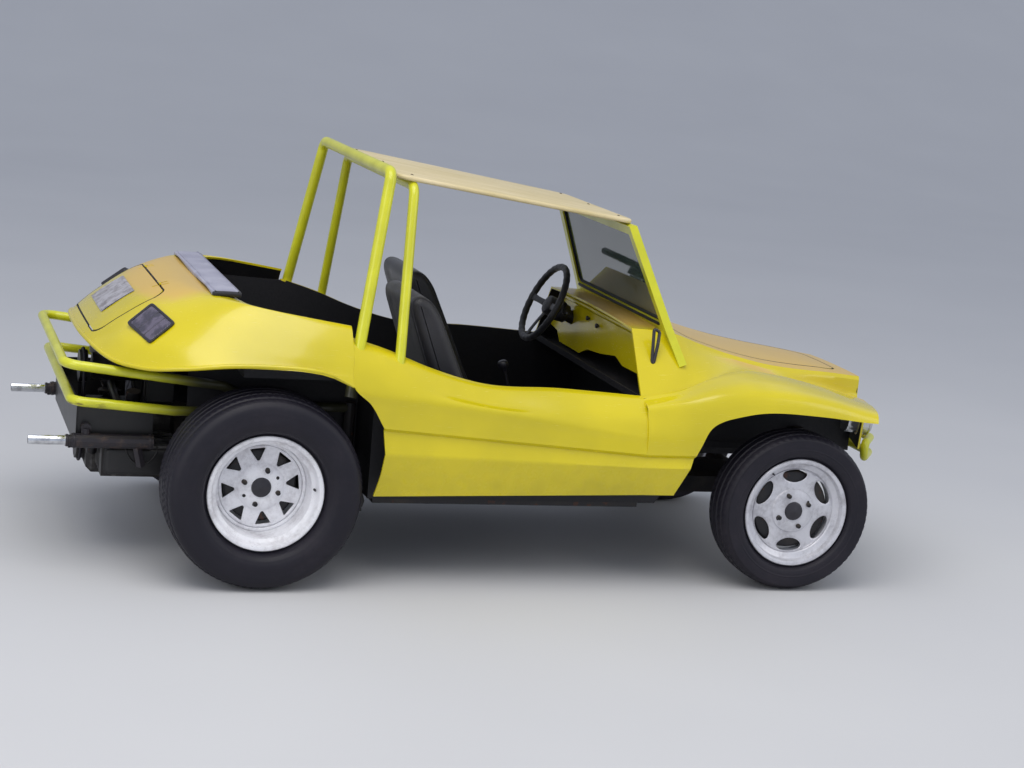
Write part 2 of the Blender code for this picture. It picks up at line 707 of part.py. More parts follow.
def seated(made, grid):
    """Trim a piece so that it sits a gap above part of a moulded skin, given as a grid of its outer face."""
    rows, columns = grid.shape[:2]
    floor = grid.copy()
    floor[..., 2] = 0.2
    points = np.concatenate([(grid + (0.0, 0.0, GAP * 1.5)).reshape(-1, 3), floor.reshape(-1, 3)])
    number = np.arange(rows * columns).reshape(rows, columns)
    cells = [(number[row, column], number[row, column + 1], number[row + 1, column + 1], number[row + 1, column])
             for row in range(rows - 1) for column in range(columns - 1)]
    border = [*number[0], *number[1:, -1], *number[-1, -2::-1], *number[-2:0:-1, 0]]

    def build(work):
        corners = [work.verts.new(tuple(point)) for point in points]
        for cell in cells:
            work.faces.new([corners[index] for index in cell])
            work.faces.new([corners[index + rows * columns] for index in reversed(cell)])
        for index, one in enumerate(border):
            other = border[(index + 1) % len(border)]
            work.faces.new([corners[other], corners[one], corners[one + rows * columns],
                            corners[other + rows * columns]])
    return combine(made, [link(mesh_of(build, "seat_cut"), "seat_cut")], "DIFFERENCE")


def build_hoops():
    """The two roll hoops; gives the cutters for the holes that let them into the right flank."""
    holes = []
    roof_fall = (ROOF_FRONT[2] - ROOF_REAR[2]) / (ROOF_FRONT[0] - ROOF_REAR[0])
    under = ROOF_REAR[2] + roof_fall * (POST_TOP[0] - ROOF_REAR[0])
    post_top = (*POST_TOP, under - POST_TUBE + 0.003)
    for name, foot, top, radius, bend in (("main_hoop", HOOP_FOOT, HOOP_TOP, HOOP_TUBE, 0.045),
                                          ("front_hoop", POST_FOOT, post_top, POST_TUBE, 0.05)):
        rise = Vector(top) - Vector(foot)
        low = Vector(top) - rise * ((top[2] - POST_END) / rise.z)
        path = [rear(low.x, -low.y, low.z), rear(top[0], -top[1], top[2]),
                rear(top[0], top[1], top[2]), rear(low.x, low.y, low.z)]
        hoop = tube(name, rounded(path, bend, 3), radius, "tube_yellow", sides=3)
        if name == "front_hoop":
            under_roof(hoop)
        holes.append(hole("hoop_hole", path[0] + (path[0] - path[1]) * 0.03, path[1],
                          radius / math.cos(math.pi / 12)))
    return holes


def roof_place(rise):
    """The plane of the roof, raised by a distance square to it."""
    middle = [(one + two) / 2 for one, two in zip(ROOF_REAR, ROOF_FRONT)]
    fall = math.atan2(ROOF_REAR[2] - ROOF_FRONT[2], ROOF_FRONT[0] - ROOF_REAR[0])
    return (Matrix.Translation(rear(middle[0], 0.0, middle[2])) @ Matrix.Rotation(fall, 4, "Y")
            @ Matrix.Translation((0.0, 0.0, rise)))


def under_roof(made):
    """Trim a piece so that it ends a gap below the roof's underside."""
    slab = plate("slab", [[(-0.7, -0.8), (0.7, -0.8), (0.7, 0.8), (-0.7, 0.8)]], 0.1, place=roof_place(0.05 - GAP))
    return combine(made, [slab], "DIFFERENCE")


def build_roof():
    """The thin roof, its corners cut."""
    length = math.hypot(ROOF_FRONT[0] - ROOF_REAR[0], ROOF_FRONT[2] - ROOF_REAR[2])
    half = length / 2
    cut = 0.03
    right = [(-half, -ROOF_REAR[1] + cut), (-half + cut, -ROOF_REAR[1]), (half - cut, -ROOF_FRONT[1]),
             (half, -ROOF_FRONT[1] + cut)]
    outline = right + [(x, -y) for x, y in reversed(right)]
    return plate("roof_panel", [outline], ROOF_THICK, "roof_cream", roof_place(ROOF_THICK / 2))


def screen_place():
    """The plane of the windshield: X across the car, Y up the glass and Z towards the nose."""
    lean = Matrix.Rotation(math.pi / 2 - SCREEN_LEAN, 4, "X")
    turn = Matrix.Rotation(math.pi / 2, 4, "Z")
    return Matrix.Translation(rear(SCREEN_BASE[0], 0.0, SCREEN_BASE[1])) @ turn @ lean


def build_screen():
    """The windshield's frame with its feet down the cowl, and the glass in it."""
    up = math.cos(SCREEN_LEAN)
    back = math.sin(SCREEN_LEAN)
    roof_fall = (ROOF_REAR[2] - ROOF_FRONT[2]) / (ROOF_FRONT[0] - ROOF_REAR[0])
    front_x = SCREEN_BASE[0] + SCREEN_DEEP / 2 * up
    front_z = SCREEN_BASE[1] + SCREEN_DEEP / 2 * back
    roof_z = ROOF_REAR[2] - roof_fall * (front_x - ROOF_REAR[0])
    top = (roof_z + 0.006 - front_z) / (up - roof_fall * back)
    right = [(-0.510, -0.155), (-0.588, -0.145), (-0.537, 0.0), (-0.452, top)]
    outer = right + [(-x, y) for x, y in reversed(right)] + [(0.480, -0.012), (-0.480, -0.012)]
    glass = [(-0.494, 0.022), (-0.417, top - 0.036), (0.417, top - 0.036), (0.494, 0.022)]
    frame = plate("windshield_frame", [outer, glass], SCREEN_DEEP, "tube_yellow", screen_place())
    seated(frame, front_grid()[:6, 4:23])
    under_roof(frame)
    inner = [(x * (1 - GAP / 0.45), y + (GAP if y < 0.1 else -GAP)) for x, y in glass]
    plate("windshield_glass", [inner], 0.006, "glass", screen_place())


def inside_reach(body, points, angle):
    """How far a ray at an angle in the YZ plane runs from each point before it meets a body, at the least."""
    depsgraph = bpy.context.evaluated_depsgraph_get()
    direction = Vector((0.0, math.cos(angle), math.sin(angle)))
    found = []
    for point in points:
        hit, place, _, _ = body.evaluated_get(depsgraph).ray_cast(point, direction)
        if hit:
            found.append((place - Vector(point)).length)
    return min(found) if found else 0.5


DASH_X = 1.447
DASH_THICK = 0.012


def build_dashboard(nose):
    """The dash: it fills the cowl's rear opening down to its cut lower edge, with a rolled lip."""
    bpy.context.view_layer.update()
    centre_z = 0.80
    starts = [rear(x, 0.0, centre_z) for x in (DASH_X, DASH_X + DASH_THICK)]
    outline = []
    for degrees in (-2, 5, 12, 17, 30, 50, 70, 90, 110, 130, 150, 163, 168, 175, 182):
        angle = math.radians(degrees)
        reach = inside_reach(nose, starts, angle) - GAP * 2
        outline.append((math.cos(angle) * reach, centre_z + math.sin(angle) * reach))
    lower = [(-0.33, 0.772), (-0.24, 0.795), (-0.06, 0.770), (0.10, 0.757), (0.20, 0.724), (0.46, 0.724),
             (0.50, 0.765)]
    place = (Matrix.Translation(rear(DASH_X + DASH_THICK / 2, 0.0, 0.0)) @ Matrix.Rotation(math.pi / 2, 4, "Z")
             @ Matrix.Rotation(math.pi / 2, 4, "X"))
    dash = plate("dashboard", [outline + lower], DASH_THICK, "body_yellow", place)
    lip = rod("lip", rear(DASH_X, -0.47, 0.925), rear(DASH_X, 0.47, 0.925), 0.012, sides=8)
    combine(dash, [lip])
    start, end = column_ends()
    return combine(dash, [hole("column_hole", start, end, COLUMN_RADIUS)], "DIFFERENCE")


COLUMN_RADIUS = 0.026
COLUMN_LENGTH = 0.330


def column_ends():
    """Both ends of the steering column, from behind the wheel's hub to the scuttle."""
    down = Vector((math.cos(STEER_TILT), 0.0, -math.sin(STEER_TILT)))
    hub = rear(*STEER_CENTRE)
    return hub + down * 0.045, hub + down * COLUMN_LENGTH


def build_steering():
    """The column and the three-spoke wheel, turned about the column."""
    start, end = column_ends()
    column = rod("steering_column", start + (end - start).normalized() * GAP, end, COLUMN_RADIUS, "tub_black")
    shroud_end = start + (end - start) * 0.20
    combine(column, [rod("shroud", start + (end - start) * 0.06, shroud_end, 0.045, end_radius=0.038)])
    stand = Matrix.Translation(rear(*STEER_CENTRE)) @ Matrix.Rotation(STEER_TILT - math.pi / 2, 4, "Y")
    rim = [Vector((STEER_RADIUS * math.cos(turn * math.pi / 9), STEER_RADIUS * math.sin(turn * math.pi / 9), 0))
           for turn in range(18)]
    wheel = tube("steering_wheel", rim, 0.0125, "seat_black", cyclic=True)
    hub = rod("hub", (0, 0, -0.045), (0, 0, -0.004), 0.042, end_radius=0.036)
    spokes = []
    for degrees in (0, 180, 270):
        turn = math.radians(degrees)
        tip = Vector((math.sin(turn), math.cos(turn), 0.0)) * STEER_RADIUS
        spokes.append(tube("spoke", [Vector((0, 0, -0.022)), tip], 0.0095))
    combine(wheel, [hub] + spokes)
    wheel.matrix_world = stand
    return column, wheel


DRIVER_SLIDE = 0.150        # the driver's seat stands further forward than the passenger's


def build_seats():
    """Two high-back bucket seats on the tub's floor."""
    floor = TUB_FLOOR + WALL + GAP
    outline = [(0.80, floor), (1.11, floor), (1.195, 0.46), (1.175, 0.512), (1.03, 0.480), (0.93, 0.455),
               (0.875, 0.475), (0.640, 0.985), (0.605, 1.035), (0.560, 1.050), (0.525, 1.030), (0.530, 0.985),
               (0.745, 0.430)]
    for name, centre_y, slide in (("seat_right", -0.335, 0.0), ("seat_left", 0.335, DRIVER_SLIDE)):
        seat = side_profile(name, [(REAR_X + slide + x, z) for x, z in outline], 0.225, "seat_black", centre_y)
        scoop = side_profile("scoop", [(REAR_X + slide + x, z) for x, z in
                                       ((1.278, 0.514), (0.903, 0.469), (0.678, 0.969), (0.928, 0.969),
                                        (1.278, 0.684))], 0.165, centre_y=centre_y)
        combine(seat, [scoop], "DIFFERENCE")


def build_controls():
    """The gear lever on the tunnel and the three pedals on the floor."""
    foot = rear(1.16, 0.0, TUNNEL_TOP + GAP)
    lever = rod("gear_lever", foot, foot + Vector((0, 0, 0.02)), 0.035, "tub_black")
    knob = rod("knob", foot + Vector((-0.085, 0, 0.245)), foot + Vector((-0.098, 0, 0.285)), 0.022,
               sides=12, end_radius=0.016)
    combine(lever, [rod("stick", foot + Vector((0, 0, 0.01)), foot + Vector((-0.09, 0, 0.26)), 0.008, sides=8),
                    knob])
    floor = TUB_FLOOR + WALL + GAP
    pedals = box("pedals", rear(1.415, 0.16, floor), rear(1.488, 0.50, floor + 0.012), "tub_black")
    arms = []
    for y, height in ((0.20, 0.12), (0.31, 0.17), (0.43, 0.17)):
        arms.append(rod("arm", rear(1.45, y, floor + 0.005), rear(1.48, y, floor + height), 0.008, sides=8))
        arms.append(box("pad", rear(1.465, y - 0.028, floor + height - 0.03),
                        rear(1.480, y + 0.028, floor + height + 0.03)))
    combine(pedals, arms)


# Running gear

BEAM_X = 0.143
BEAM_TUBE = 0.030
BEAM_RISE = 0.060
BEAM_HALF = 0.455
KINGPIN_RISE = 0.085
DISC_BACK = 0.010           # from the front of a disc to the back of its hub


def wheel_place(axle_x, side_y, radius):
    """A wheel's place: Z out along the axle from the outer flange."""
    turn = Matrix.Rotation(math.pi / 2 if side_y < 0 else -math.pi / 2, 4, "X")
    return Matrix.Translation((axle_x, side_y, radius)) @ turn


def rim_profile(width, dish):
    """The outline of a rim and its disc, from the cap on the axis round the barrel to the disc's back."""
    outer = RIM_RADIUS
    inner = outer - 0.053
    back = 0.150 if dish > 0.1 else width - 0.050
    return [(0.0, 0.030 - dish), (0.034, 0.026 - dish), (0.040, 0.002 - dish), (inner - 0.010, -dish),
            (inner + 0.006, -0.028), (outer - 0.012, 0.0), (outer, 0.0), (outer, -0.010),
            (outer - 0.020, -0.014), (outer - 0.020, -0.040), (outer - 0.042, -0.060),
            (outer - 0.042, 0.060 - width), (outer - 0.020, 0.040 - width), (outer - 0.020, 0.014 - width),
            (outer, 0.010 - width), (outer, -width), (inner, -back), (inner, -dish - 0.008),
            (0.0, -dish - DISC_BACK)]


def tyre_profile(width, tyre_width, radius, square):
    """The outline of a tyre over a rim: bore, two sidewalls and a tread."""
    bulge = (tyre_width - width) / 2
    side = [(RIM_RADIUS - 0.0197, -0.0203), (RIM_RADIUS + 0.004, -0.0115),
            ((RIM_RADIUS + radius) / 2, bulge), (radius - 0.030, bulge - square),
            (radius - 0.007, 0.3 * bulge - square), (radius, -0.030 - square)]
    return side + [(reach, -width - along) for reach, along in reversed(side)]


RIM_STEPS = 24


def build_wheels():
    """Rims with their windows, and tyres, on both axles; the right ones are mirrored to the left."""
    for axle, axle_x, flange_y, radius, width, dish, tyre_width, colour in (
            ("rear", REAR_X, REAR_FLANGE_Y, REAR_RADIUS, REAR_RIM_WIDTH, REAR_DISH, REAR_TYRE_WIDTH, "rim_white"),
            ("front", FRONT_X, FRONT_FLANGE_Y, FRONT_RADIUS, FRONT_RIM_WIDTH, FRONT_DISH, FRONT_TYRE_WIDTH,
             "rim_silver")):
        rim = turned("rim_" + axle + "_right", rim_profile(width, dish), RIM_STEPS, colour)
        windows = []
        count = 8 if axle == "rear" else 5
        for number in range(count):
            turn = Matrix.Rotation(number * 2 * math.pi / count, 4, "Z")
            if axle == "rear":
                shape = [(0.093, -0.005), (0.093, 0.005), (0.136, 0.029), (0.140, 0.0), (0.136, -0.029)]
            else:
                shape = [(0.118 + 0.024 * math.cos(step * math.pi / 4), 0.043 * math.sin(step * math.pi / 4))
                         for step in range(8)]
            hole = plate("window", [shape], 0.06)
            hole.matrix_world = Matrix.Translation((0, 0, -dish)) @ turn
            windows.append(hole)
        combine(rim, windows, "DIFFERENCE")
        tyre = turned("tyre_" + axle + "_right",
                      tyre_profile(width, tyre_width, radius, 0.004 if axle == "rear" else 0.0),
                      RIM_STEPS, "tyre")
        for piece in (rim, tyre):
            twin = bpy.data.objects.new(piece.name.replace("right", "left"), piece.data)
            parts.objects.link(twin)
            piece.matrix_world = wheel_place(axle_x, -flange_y, radius)
            twin.matrix_world = wheel_place(axle_x, flange_y, radius)


def hub_end(flange_y, dish):
    """Where the back of a wheel's hub lies, from the car's middle."""
    return flange_y - dish - DISC_BACK


def build_rear_axle():
    """Gearbox, axle tubes, drums and spring plates as one piece."""
    hub_y = hub_end(REAR_FLANGE_Y, REAR_DISH)
    case = rod("rear_axle", rear(-0.2397, 0, 0.370), rear(-0.13, 0, 0.370), 0.15, "steel_dark", sides=16,
               end_radius=0.13)
    pieces = [rod("gearbox", rear(-0.16, 0, 0.36), rear(0.20, 0, 0.345), 0.11, sides=10, end_radius=0.09),
              rod("gear_nose", rear(0.18, 0, 0.345), rear(0.325, 0, 0.345), 0.062, sides=12)]
    for hand in (-1, 1):
        pieces += [
            rod("half_axle", rear(0, hand * 0.06, REAR_RADIUS), rear(0, hand * 0.60, REAR_RADIUS), 0.033, sides=12),
            rod("drum", rear(0, hand * (hub_y - 0.086), REAR_RADIUS), rear(0, hand * (hub_y - 0.006), REAR_RADIUS),
                0.118, sides=16),
            rod("hub", rear(0, hand * (hub_y - 0.03), REAR_RADIUS), rear(0, hand * (hub_y - GAP), REAR_RADIUS),
                0.034)]
        plate_y = TORSION_HALF + GAP + 0.005
        outline = [(0.414, 0.225), (0.414, 0.300), (0.05, 0.390), (-0.05, 0.390), (-0.05, 0.295), (0.02, 0.285),
                   (0.34, 0.217)]
        pieces.append(side_profile("spring_plate", [(REAR_X + x, z) for x, z in outline], 0.005,
                                   centre_y=hand * plate_y))
    return combine(case, pieces)


def build_front_axle():
    """The twin-tube beam with its shock towers, trailing arms and kingpin eyes."""
    height = FRONT_RADIUS
    beam = rod("front_axle", front(BEAM_X, -BEAM_HALF, height - BEAM_RISE),
               front(BEAM_X, BEAM_HALF, height - BEAM_RISE), BEAM_TUBE, "steel_dark", sides=12)
    pieces = [rod("upper_tube", front(BEAM_X, -BEAM_HALF, height + BEAM_RISE),
                  front(BEAM_X, BEAM_HALF, height + BEAM_RISE), BEAM_TUBE, sides=12)]
    for hand in (-1, 1):
        pieces.append(box("tower", front(BEAM_X - 0.020, hand * 0.38 - 0.018, height - 0.08),
                          front(BEAM_X + 0.020, hand * 0.38 + 0.018, 0.560)))
        pieces.append(box("bumper_stay", front(BEAM_X, hand * STAY_Y - 0.02, height + BEAM_RISE - 0.02),
                          front(STAY_X, hand * STAY_Y + 0.02, height + BEAM_RISE + 0.02)))
        for rise in (-1, 1):
            eye = height + rise * (KINGPIN_RISE + GAP + 0.009)
            knee = height + rise * BEAM_RISE
            pieces.append(tube("arm", [front(BEAM_X, hand * (BEAM_HALF - 0.04), knee),
                                       front(0.035, hand * 0.520, eye), front(0.0, hand * KINGPIN_Y, eye)], 0.009))
            pieces.append(rod("eye", front(0, hand * KINGPIN_Y, eye - 0.009), front(0, hand * KINGPIN_Y, eye + 0.009),
                              0.022, sides=12))
    return combine(beam, pieces)


def build_knuckles():
    """A knuckle with its kingpin, spindle, drum and steering arm, on each side."""
    hub_y = hub_end(FRONT_FLANGE_Y, FRONT_DISH)
    height = FRONT_RADIUS
    for hand, name in ((-1, "knuckle_right"), (1, "knuckle_left")):
        pin = rod(name, front(0, hand * KINGPIN_Y, height - KINGPIN_RISE),
                  front(0, hand * KINGPIN_Y, height + KINGPIN_RISE), 0.019, "steel_dark", sides=12)
        combine(pin, [
            rod("spindle", front(0, hand * (KINGPIN_Y - 0.010), height), front(0, hand * (hub_y - GAP), height), 0.030),
            rod("drum", front(0, hand * (KINGPIN_Y + 0.030), height), front(0, hand * (hub_y - 0.006), height), 0.112,
                sides=16),
            rod("steering_arm", front(-0.003, hand * (KINGPIN_Y + 0.004), height - 0.043),
                front(-0.13, hand * (KINGPIN_Y - 0.045), height - 0.043), 0.011, sides=8)])


# Bumpers, engine and exhaust

BUMPER_TUBE = 0.0175
FRONT_BUMPER_TUBE = 0.0165
FRONT_BUMPER_X = OVERALL_LENGTH / 2 - FRONT_X - FRONT_BUMPER_TUBE
FRONT_BUMPER_Z = (0.462, 0.522)
STAY_Y = 0.18
STAY_X = 0.190
TAIL_PIPE = (0.460, 0.456)  # distance from the middle and height


def build_bumpers():
    """The stacked tubes behind and the loop in front."""
    right = [(TOWER_X, TOWER_Y, 0.600), (0.05, 0.460, 0.600), (-0.13, 0.505, 0.680), (-0.692, 0.527, 0.745)]
    path = [rear(x, -y, z) for x, y, z in right] + [rear(x, y, z) for x, y, z in reversed(right)]
    bumper = tube("rear_bumper", rounded(path, 0.06), BUMPER_TUBE, "tube_yellow")
    right = [(-0.02, 0.471, 0.612), (-0.16, 0.490, 0.580), (-0.30, 0.515, 0.585), (-0.662, 0.535, 0.615)]
    path = [rear(x, -y, z) for x, y, z in right] + [rear(x, y, z) for x, y, z in reversed(right)]
    combine(bumper, [tube("lower", rounded(path, 0.05), BUMPER_TUBE)])
    posts = [hole("tower_hole", rear(TOWER_X, hand * TOWER_Y, 0.4), rear(TOWER_X, hand * TOWER_Y, 0.8), TOWER_TUBE)
             for hand in (-1, 1)]
    combine(bumper, posts, "DIFFERENCE")

    low, high = FRONT_BUMPER_Z
    corner = FRONT_BUMPER_X
    end = corner - 0.075
    path = [front(corner, -0.36, high), front(corner, 0.36, high), front(end, 0.47, high), front(end, 0.47, low),
            front(corner, 0.36, low), front(corner, -0.36, low), front(end, -0.47, low), front(end, -0.47, high)]
    loop = tube("front_bumper", rounded(path, 0.028, cyclic=True), FRONT_BUMPER_TUBE, "tube_yellow", cyclic=True)
    stays = []
    for hand in (-1, 1):
        y = hand * STAY_Y
        stays.append(tube("stay", [front(STAY_X + GAP, y, FRONT_RADIUS + BEAM_RISE),
                                   front(STAY_X + 0.04, y, FRONT_RADIUS + BEAM_RISE), front(0.34, y, 0.392),
                                   front(corner, y, low)], 0.014))
        stays.append(rod("tie", front(corner, y, low), front(corner, y, high), 0.012, sides=8))
    combine(loop, stays)


def build_engine():
    """The open engine: crankcase with finned barrels, pulley and air cleaner, and the fan shroud on it."""
    engine = box("engine", rear(-0.56, -0.16, 0.265), rear(-0.24, 0.16, 0.500), "engine_metal", bevel=0.02)
    pieces = [rod("crank_pulley", rear(-0.590, 0, 0.370), rear(-0.550, 0, 0.370), 0.085, sides=14),
              rod("neck", rear(-0.455, 0.13, 0.49), rear(-0.455, 0.13, 0.68), 0.025, sides=10),
              rod("air_cleaner", rear(-0.455, 0.13, 0.670), rear(-0.455, 0.13, 0.745), 0.085, sides=14)]
    for hand in (-1, 1):
        low_y, high_y = sorted((hand * 0.14, hand * 0.385))
        pieces.append(box("barrels", rear(-0.515, low_y, 0.325), rear(-0.275, high_y, 0.425)))
        for number in range(4):
            y = hand * (0.190 + number * 0.042)
            pieces.append(box("fin", rear(-0.530, y - 0.010, 0.312), rear(-0.260, y + 0.010, 0.438)))
        low_y, high_y = sorted((hand * 0.352, hand * 0.420))
        pieces.append(box("head", rear(-0.535, low_y, 0.318), rear(-0.255, high_y, 0.432)))
    combine(engine, pieces)

    half = 0.245
    arch = [(half * math.cos(turn * math.pi / 10), 0.640 + 0.145 * math.sin(turn * math.pi / 10))
            for turn in range(11)]
    outline = arch + [(-half, 0.56), (-0.150, 0.500 + GAP), (0.150, 0.500 + GAP), (half, 0.56)]
    place = (Matrix.Translation(rear(-0.315, 0.0, 0.0)) @ Matrix.Rotation(math.pi / 2, 4, "Z")
             @ Matrix.Rotation(math.pi / 2, 4, "X"))
    shroud = plate("fan_shroud", [outline], 0.10, "steel_dark", place)
    combine(shroud, [rod("generator", rear(-0.35, 0, 0.640), rear(-0.542, 0, 0.640), 0.052, sides=10),
                     rod("shaft", rear(-0.53, 0, 0.640), rear(-0.575, 0, 0.640), 0.015, sides=10),
                     rod("fan_pulley", rear(-0.560, 0, 0.640), rear(-0.590, 0, 0.640), 0.062, sides=12),
                     rod("fan_mouth", rear(-0.270, 0, 0.650), rear(-0.240, 0, 0.650), 0.110, sides=12)])


def build_exhaust():
    """Two silencers with tail pipes, joined by a cross pipe, and the black apron over it."""
    y, z = TAIL_PIPE
    tips = -REAR_OVERHANG
    cross = rod("exhaust", rear(-0.598, -y, z + 0.044), rear(-0.598, y, z + 0.044), 0.018, "steel_dark", sides=12)
    pieces = []
    for hand in (-1, 1):
        pieces += [
            rod("silencer", rear(-0.650, hand * y, z), rear(-0.36, hand * y, z), 0.0265),
            rod("collar", rear(-0.672, hand * y, z), rear(-0.640, hand * y, z), 0.021),
            rod("tail_pipe", rear(tips, hand * y, z), rear(-0.66, hand * y, z), 0.0172),
            rod("riser", rear(-0.598, hand * (y - 0.006), z), rear(-0.598, hand * (y - 0.006), z + 0.044), 0.0165),
            tube("header", [rear(-0.42, hand * y, z), rear(-0.40, hand * (y + 0.002), 0.375),
                            rear(-0.40, hand * (0.420 + GAP), 0.375)], 0.018)]
    combine(cross, pieces)
    for hand in (-1, 1):
        bore = rod("bore", rear(tips - 0.01, hand * y, z), rear(tips + 0.05, hand * y, z), 0.0145)
        combine(cross, [bore], "DIFFERENCE")

    apron_x = -0.628
    outline = [(-0.400, 0.425), (0.400, 0.425), (0.425, 0.475), (0.425, 0.575), (-0.425, 0.575), (-0.425, 0.475)]
    place = (Matrix.Translation(rear(apron_x, 0.0, 0.0)) @ Matrix.Rotation(math.pi / 2, 4, "Z")
             @ Matrix.Rotation(math.pi / 2, 4, "X"))
    apron = plate("engine_apron", [outline], 0.008, "tub_black", place)
    stays = [box("stay", rear(apron_x, hand * 0.100 - 0.012, 0.455), rear(-0.560 - GAP, hand * 0.100 + 0.012, 0.475))
             for hand in (-1, 1)]
    stays += [box("side", rear(apron_x + 0.002, min(hand * 0.424, hand * 0.432), 0.425),
                  rear(-0.360, max(hand * 0.424, hand * 0.432), 0.590)) for hand in (-1, 1)]
    combine(apron, stays)
    combine(apron, [hole("pipe_hole", rear(-0.598, -y, z + 0.044), rear(-0.598, y, z + 0.044), 0.018)],
            "DIFFERENCE")


# Lamps, pad and plate

LAMP_PLACE = (-0.410, 0.530, 0.912)
LAMP_DOWN = Vector((-0.075, -0.010, -0.075))
LAMP_OUT = Vector((0.100, -0.100, -0.055))
PLATE_SIZE = (0.070, 0.180, 0.003)
HEADLAMP = (0.395, 0.604, 0.062)    # distance from the middle, height and radius


def build_lamps(tail, nose):
    """Tail lamps let into the rear quarters and headlamps let into the front face."""
    down = LAMP_DOWN.normalized()
    normal = down.cross(LAMP_OUT).normalized()
    out = normal.cross(down).normalized()
    centre = rear(LAMP_PLACE[0], -LAMP_PLACE[1], LAMP_PLACE[2])
    centre = surface_point(tail, centre + normal * 0.2, -normal)
    turn = Matrix((down, out, normal)).transposed().to_4x4()
    for grow, name in ((0.0, "tail_lamp_right"), (GAP, "lamp_hole")):
        size = Vector((LAMP_DOWN.length / 2 + grow, LAMP_OUT.length / 2 + grow, 0.018 + grow))
        lamp = box(name, -size, size, None if grow else "lamp_dark", bevel=0.0 if grow else 0.004)
        lamp.matrix_world = Matrix.Translation(centre - normal * 0.010) @ turn
        if grow:
            combine(tail, [lamp, mirrored(lamp, "lamp_hole_left")], "DIFFERENCE")
        else:
            bpy.context.view_layer.update()
            mirrored(lamp, "tail_lamp_left")
    y, z, radius = HEADLAMP
    face = FRONT_SECTIONS[-1][0] - (y - NOSE_HALF) * NOSE_SWEEP
    for hand, name in ((-1, "headlamp_right"), (1, "headlamp_left")):
        back = front(face - 0.075, hand * y, z)
        lens = front(face + 0.018, hand * y, z)
        rod(name, back, lens, radius - 0.012, "lamp_clear", sides=16, end_radius=radius)
        combine(nose, [hole("headlamp_hole", back, lens, radius - 0.012, sides=16, end_radius=radius)],
                "DIFFERENCE")


def build_pad_and_plate(grid, lid_piece):
    """The padded bar on the deck's front edge and the blank plate on the rear lid."""
    pad = box("deck_pad", rear(-0.190, -0.515, 0.960), rear(-0.080, 0.515, 1.026), "pad_grey", bevel=0.018)
    seated(pad, grid[:6, 3:24])
    place = Matrix.Translation(REAR_LID_CENTRE + Vector((-0.036, 0.0, 0.0))) @ Matrix.Rotation(
        math.radians(-46), 4, "Y")
    half_x, half_y, thick = PLATE_SIZE
    normal = (place.to_3x3() @ Vector((0.0, 0.0, 1.0))).normalized()
    high = -1.0
    for step_x in range(-6, 7):
        for step_y in range(-6, 7):
            above = place @ Vector((step_x / 6 * half_x, step_y / 6 * half_y, 0.2))
            high = max(high, (place.inverted() @ surface_point(lid_piece, above, -normal)).z)
    number_plate = box("number_plate", (-half_x, -half_y, -thick / 2), (half_x, half_y, thick / 2), "plate_grey")
    number_plate.matrix_world = place @ Matrix.Translation((0.0, 0.0, high + GAP + thick / 2))


def main():
    """Every piece, each under its node's name."""
    tail, side, nose, rear_lid, hood = build_body()
    seam(side, REAR_X + SEAM_REAR, True)
    seam(side, REAR_X + SEAM_FRONT, False)
    seam(tail, REAR_X + SEAM_REAR, False)
    seam(nose, REAR_X + SEAM_FRONT, True)
    build_tub()
    build_liners()
    build_chassis()
    build_tank()
    combine(side, build_hoops(), "DIFFERENCE")
    mirrored(side, "side_left")
    build_roof()
    build_screen()
    build_dashboard(nose)
    build_steering()
    build_seats()
    build_controls()
    build_wheels()
    build_rear_axle()
    build_front_axle()
    build_knuckles()
    build_bumpers()
    build_engine()
    build_exhaust()
    build_lamps(tail, nose)
    build_pad_and_plate(tail_grid(), rear_lid)


main()
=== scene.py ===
"""Looks of the dune buggy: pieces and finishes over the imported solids, in metres.

The nose points along +X, the car's left is +Y and the ground is z = 0. Sections follow the order in which
the car goes together, and each value stands in the first section that needs it.
"""
import math

import bmesh
import bpy
import numpy as np
from mathutils import Matrix, Vector


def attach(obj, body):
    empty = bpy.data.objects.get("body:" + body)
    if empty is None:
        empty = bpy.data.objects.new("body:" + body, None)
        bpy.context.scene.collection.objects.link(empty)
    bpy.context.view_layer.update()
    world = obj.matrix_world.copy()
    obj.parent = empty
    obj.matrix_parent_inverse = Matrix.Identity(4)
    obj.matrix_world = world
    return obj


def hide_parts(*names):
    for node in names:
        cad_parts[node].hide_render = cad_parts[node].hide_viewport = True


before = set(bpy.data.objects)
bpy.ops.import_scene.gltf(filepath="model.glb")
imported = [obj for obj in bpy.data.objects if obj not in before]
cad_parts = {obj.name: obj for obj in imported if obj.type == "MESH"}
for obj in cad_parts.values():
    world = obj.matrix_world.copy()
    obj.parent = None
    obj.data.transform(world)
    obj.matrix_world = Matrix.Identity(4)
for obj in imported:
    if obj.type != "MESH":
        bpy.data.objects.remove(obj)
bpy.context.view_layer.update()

# Camera, floor and light
# The camera stands low off the right rear quarter, as the photographer did, over a plain pale floor.
# Soft daylight comes from a large panel above and two smaller ones, beside the camera and off the nose.

camera = bpy.data.cameras.new("camera")
camera.sensor_width = 36.0
camera.lens = 75.44
camera.clip_end = 200.0
stand = bpy.data.objects.new("camera", camera)
bpy.context.scene.collection.objects.link(stand)
stand.matrix_world = Matrix(((0.95508, -0.03148, -0.29468, -2.276),
                             (-0.28290, 0.19942, -0.93819, -8.015),
                             (0.08830, 0.97941, 0.18156, 2.174),
                             (0.0, 0.0, 0.0, 1.0)))
bpy.context.scene.camera = stand
bpy.context.scene.view_settings.view_transform = "Standard"


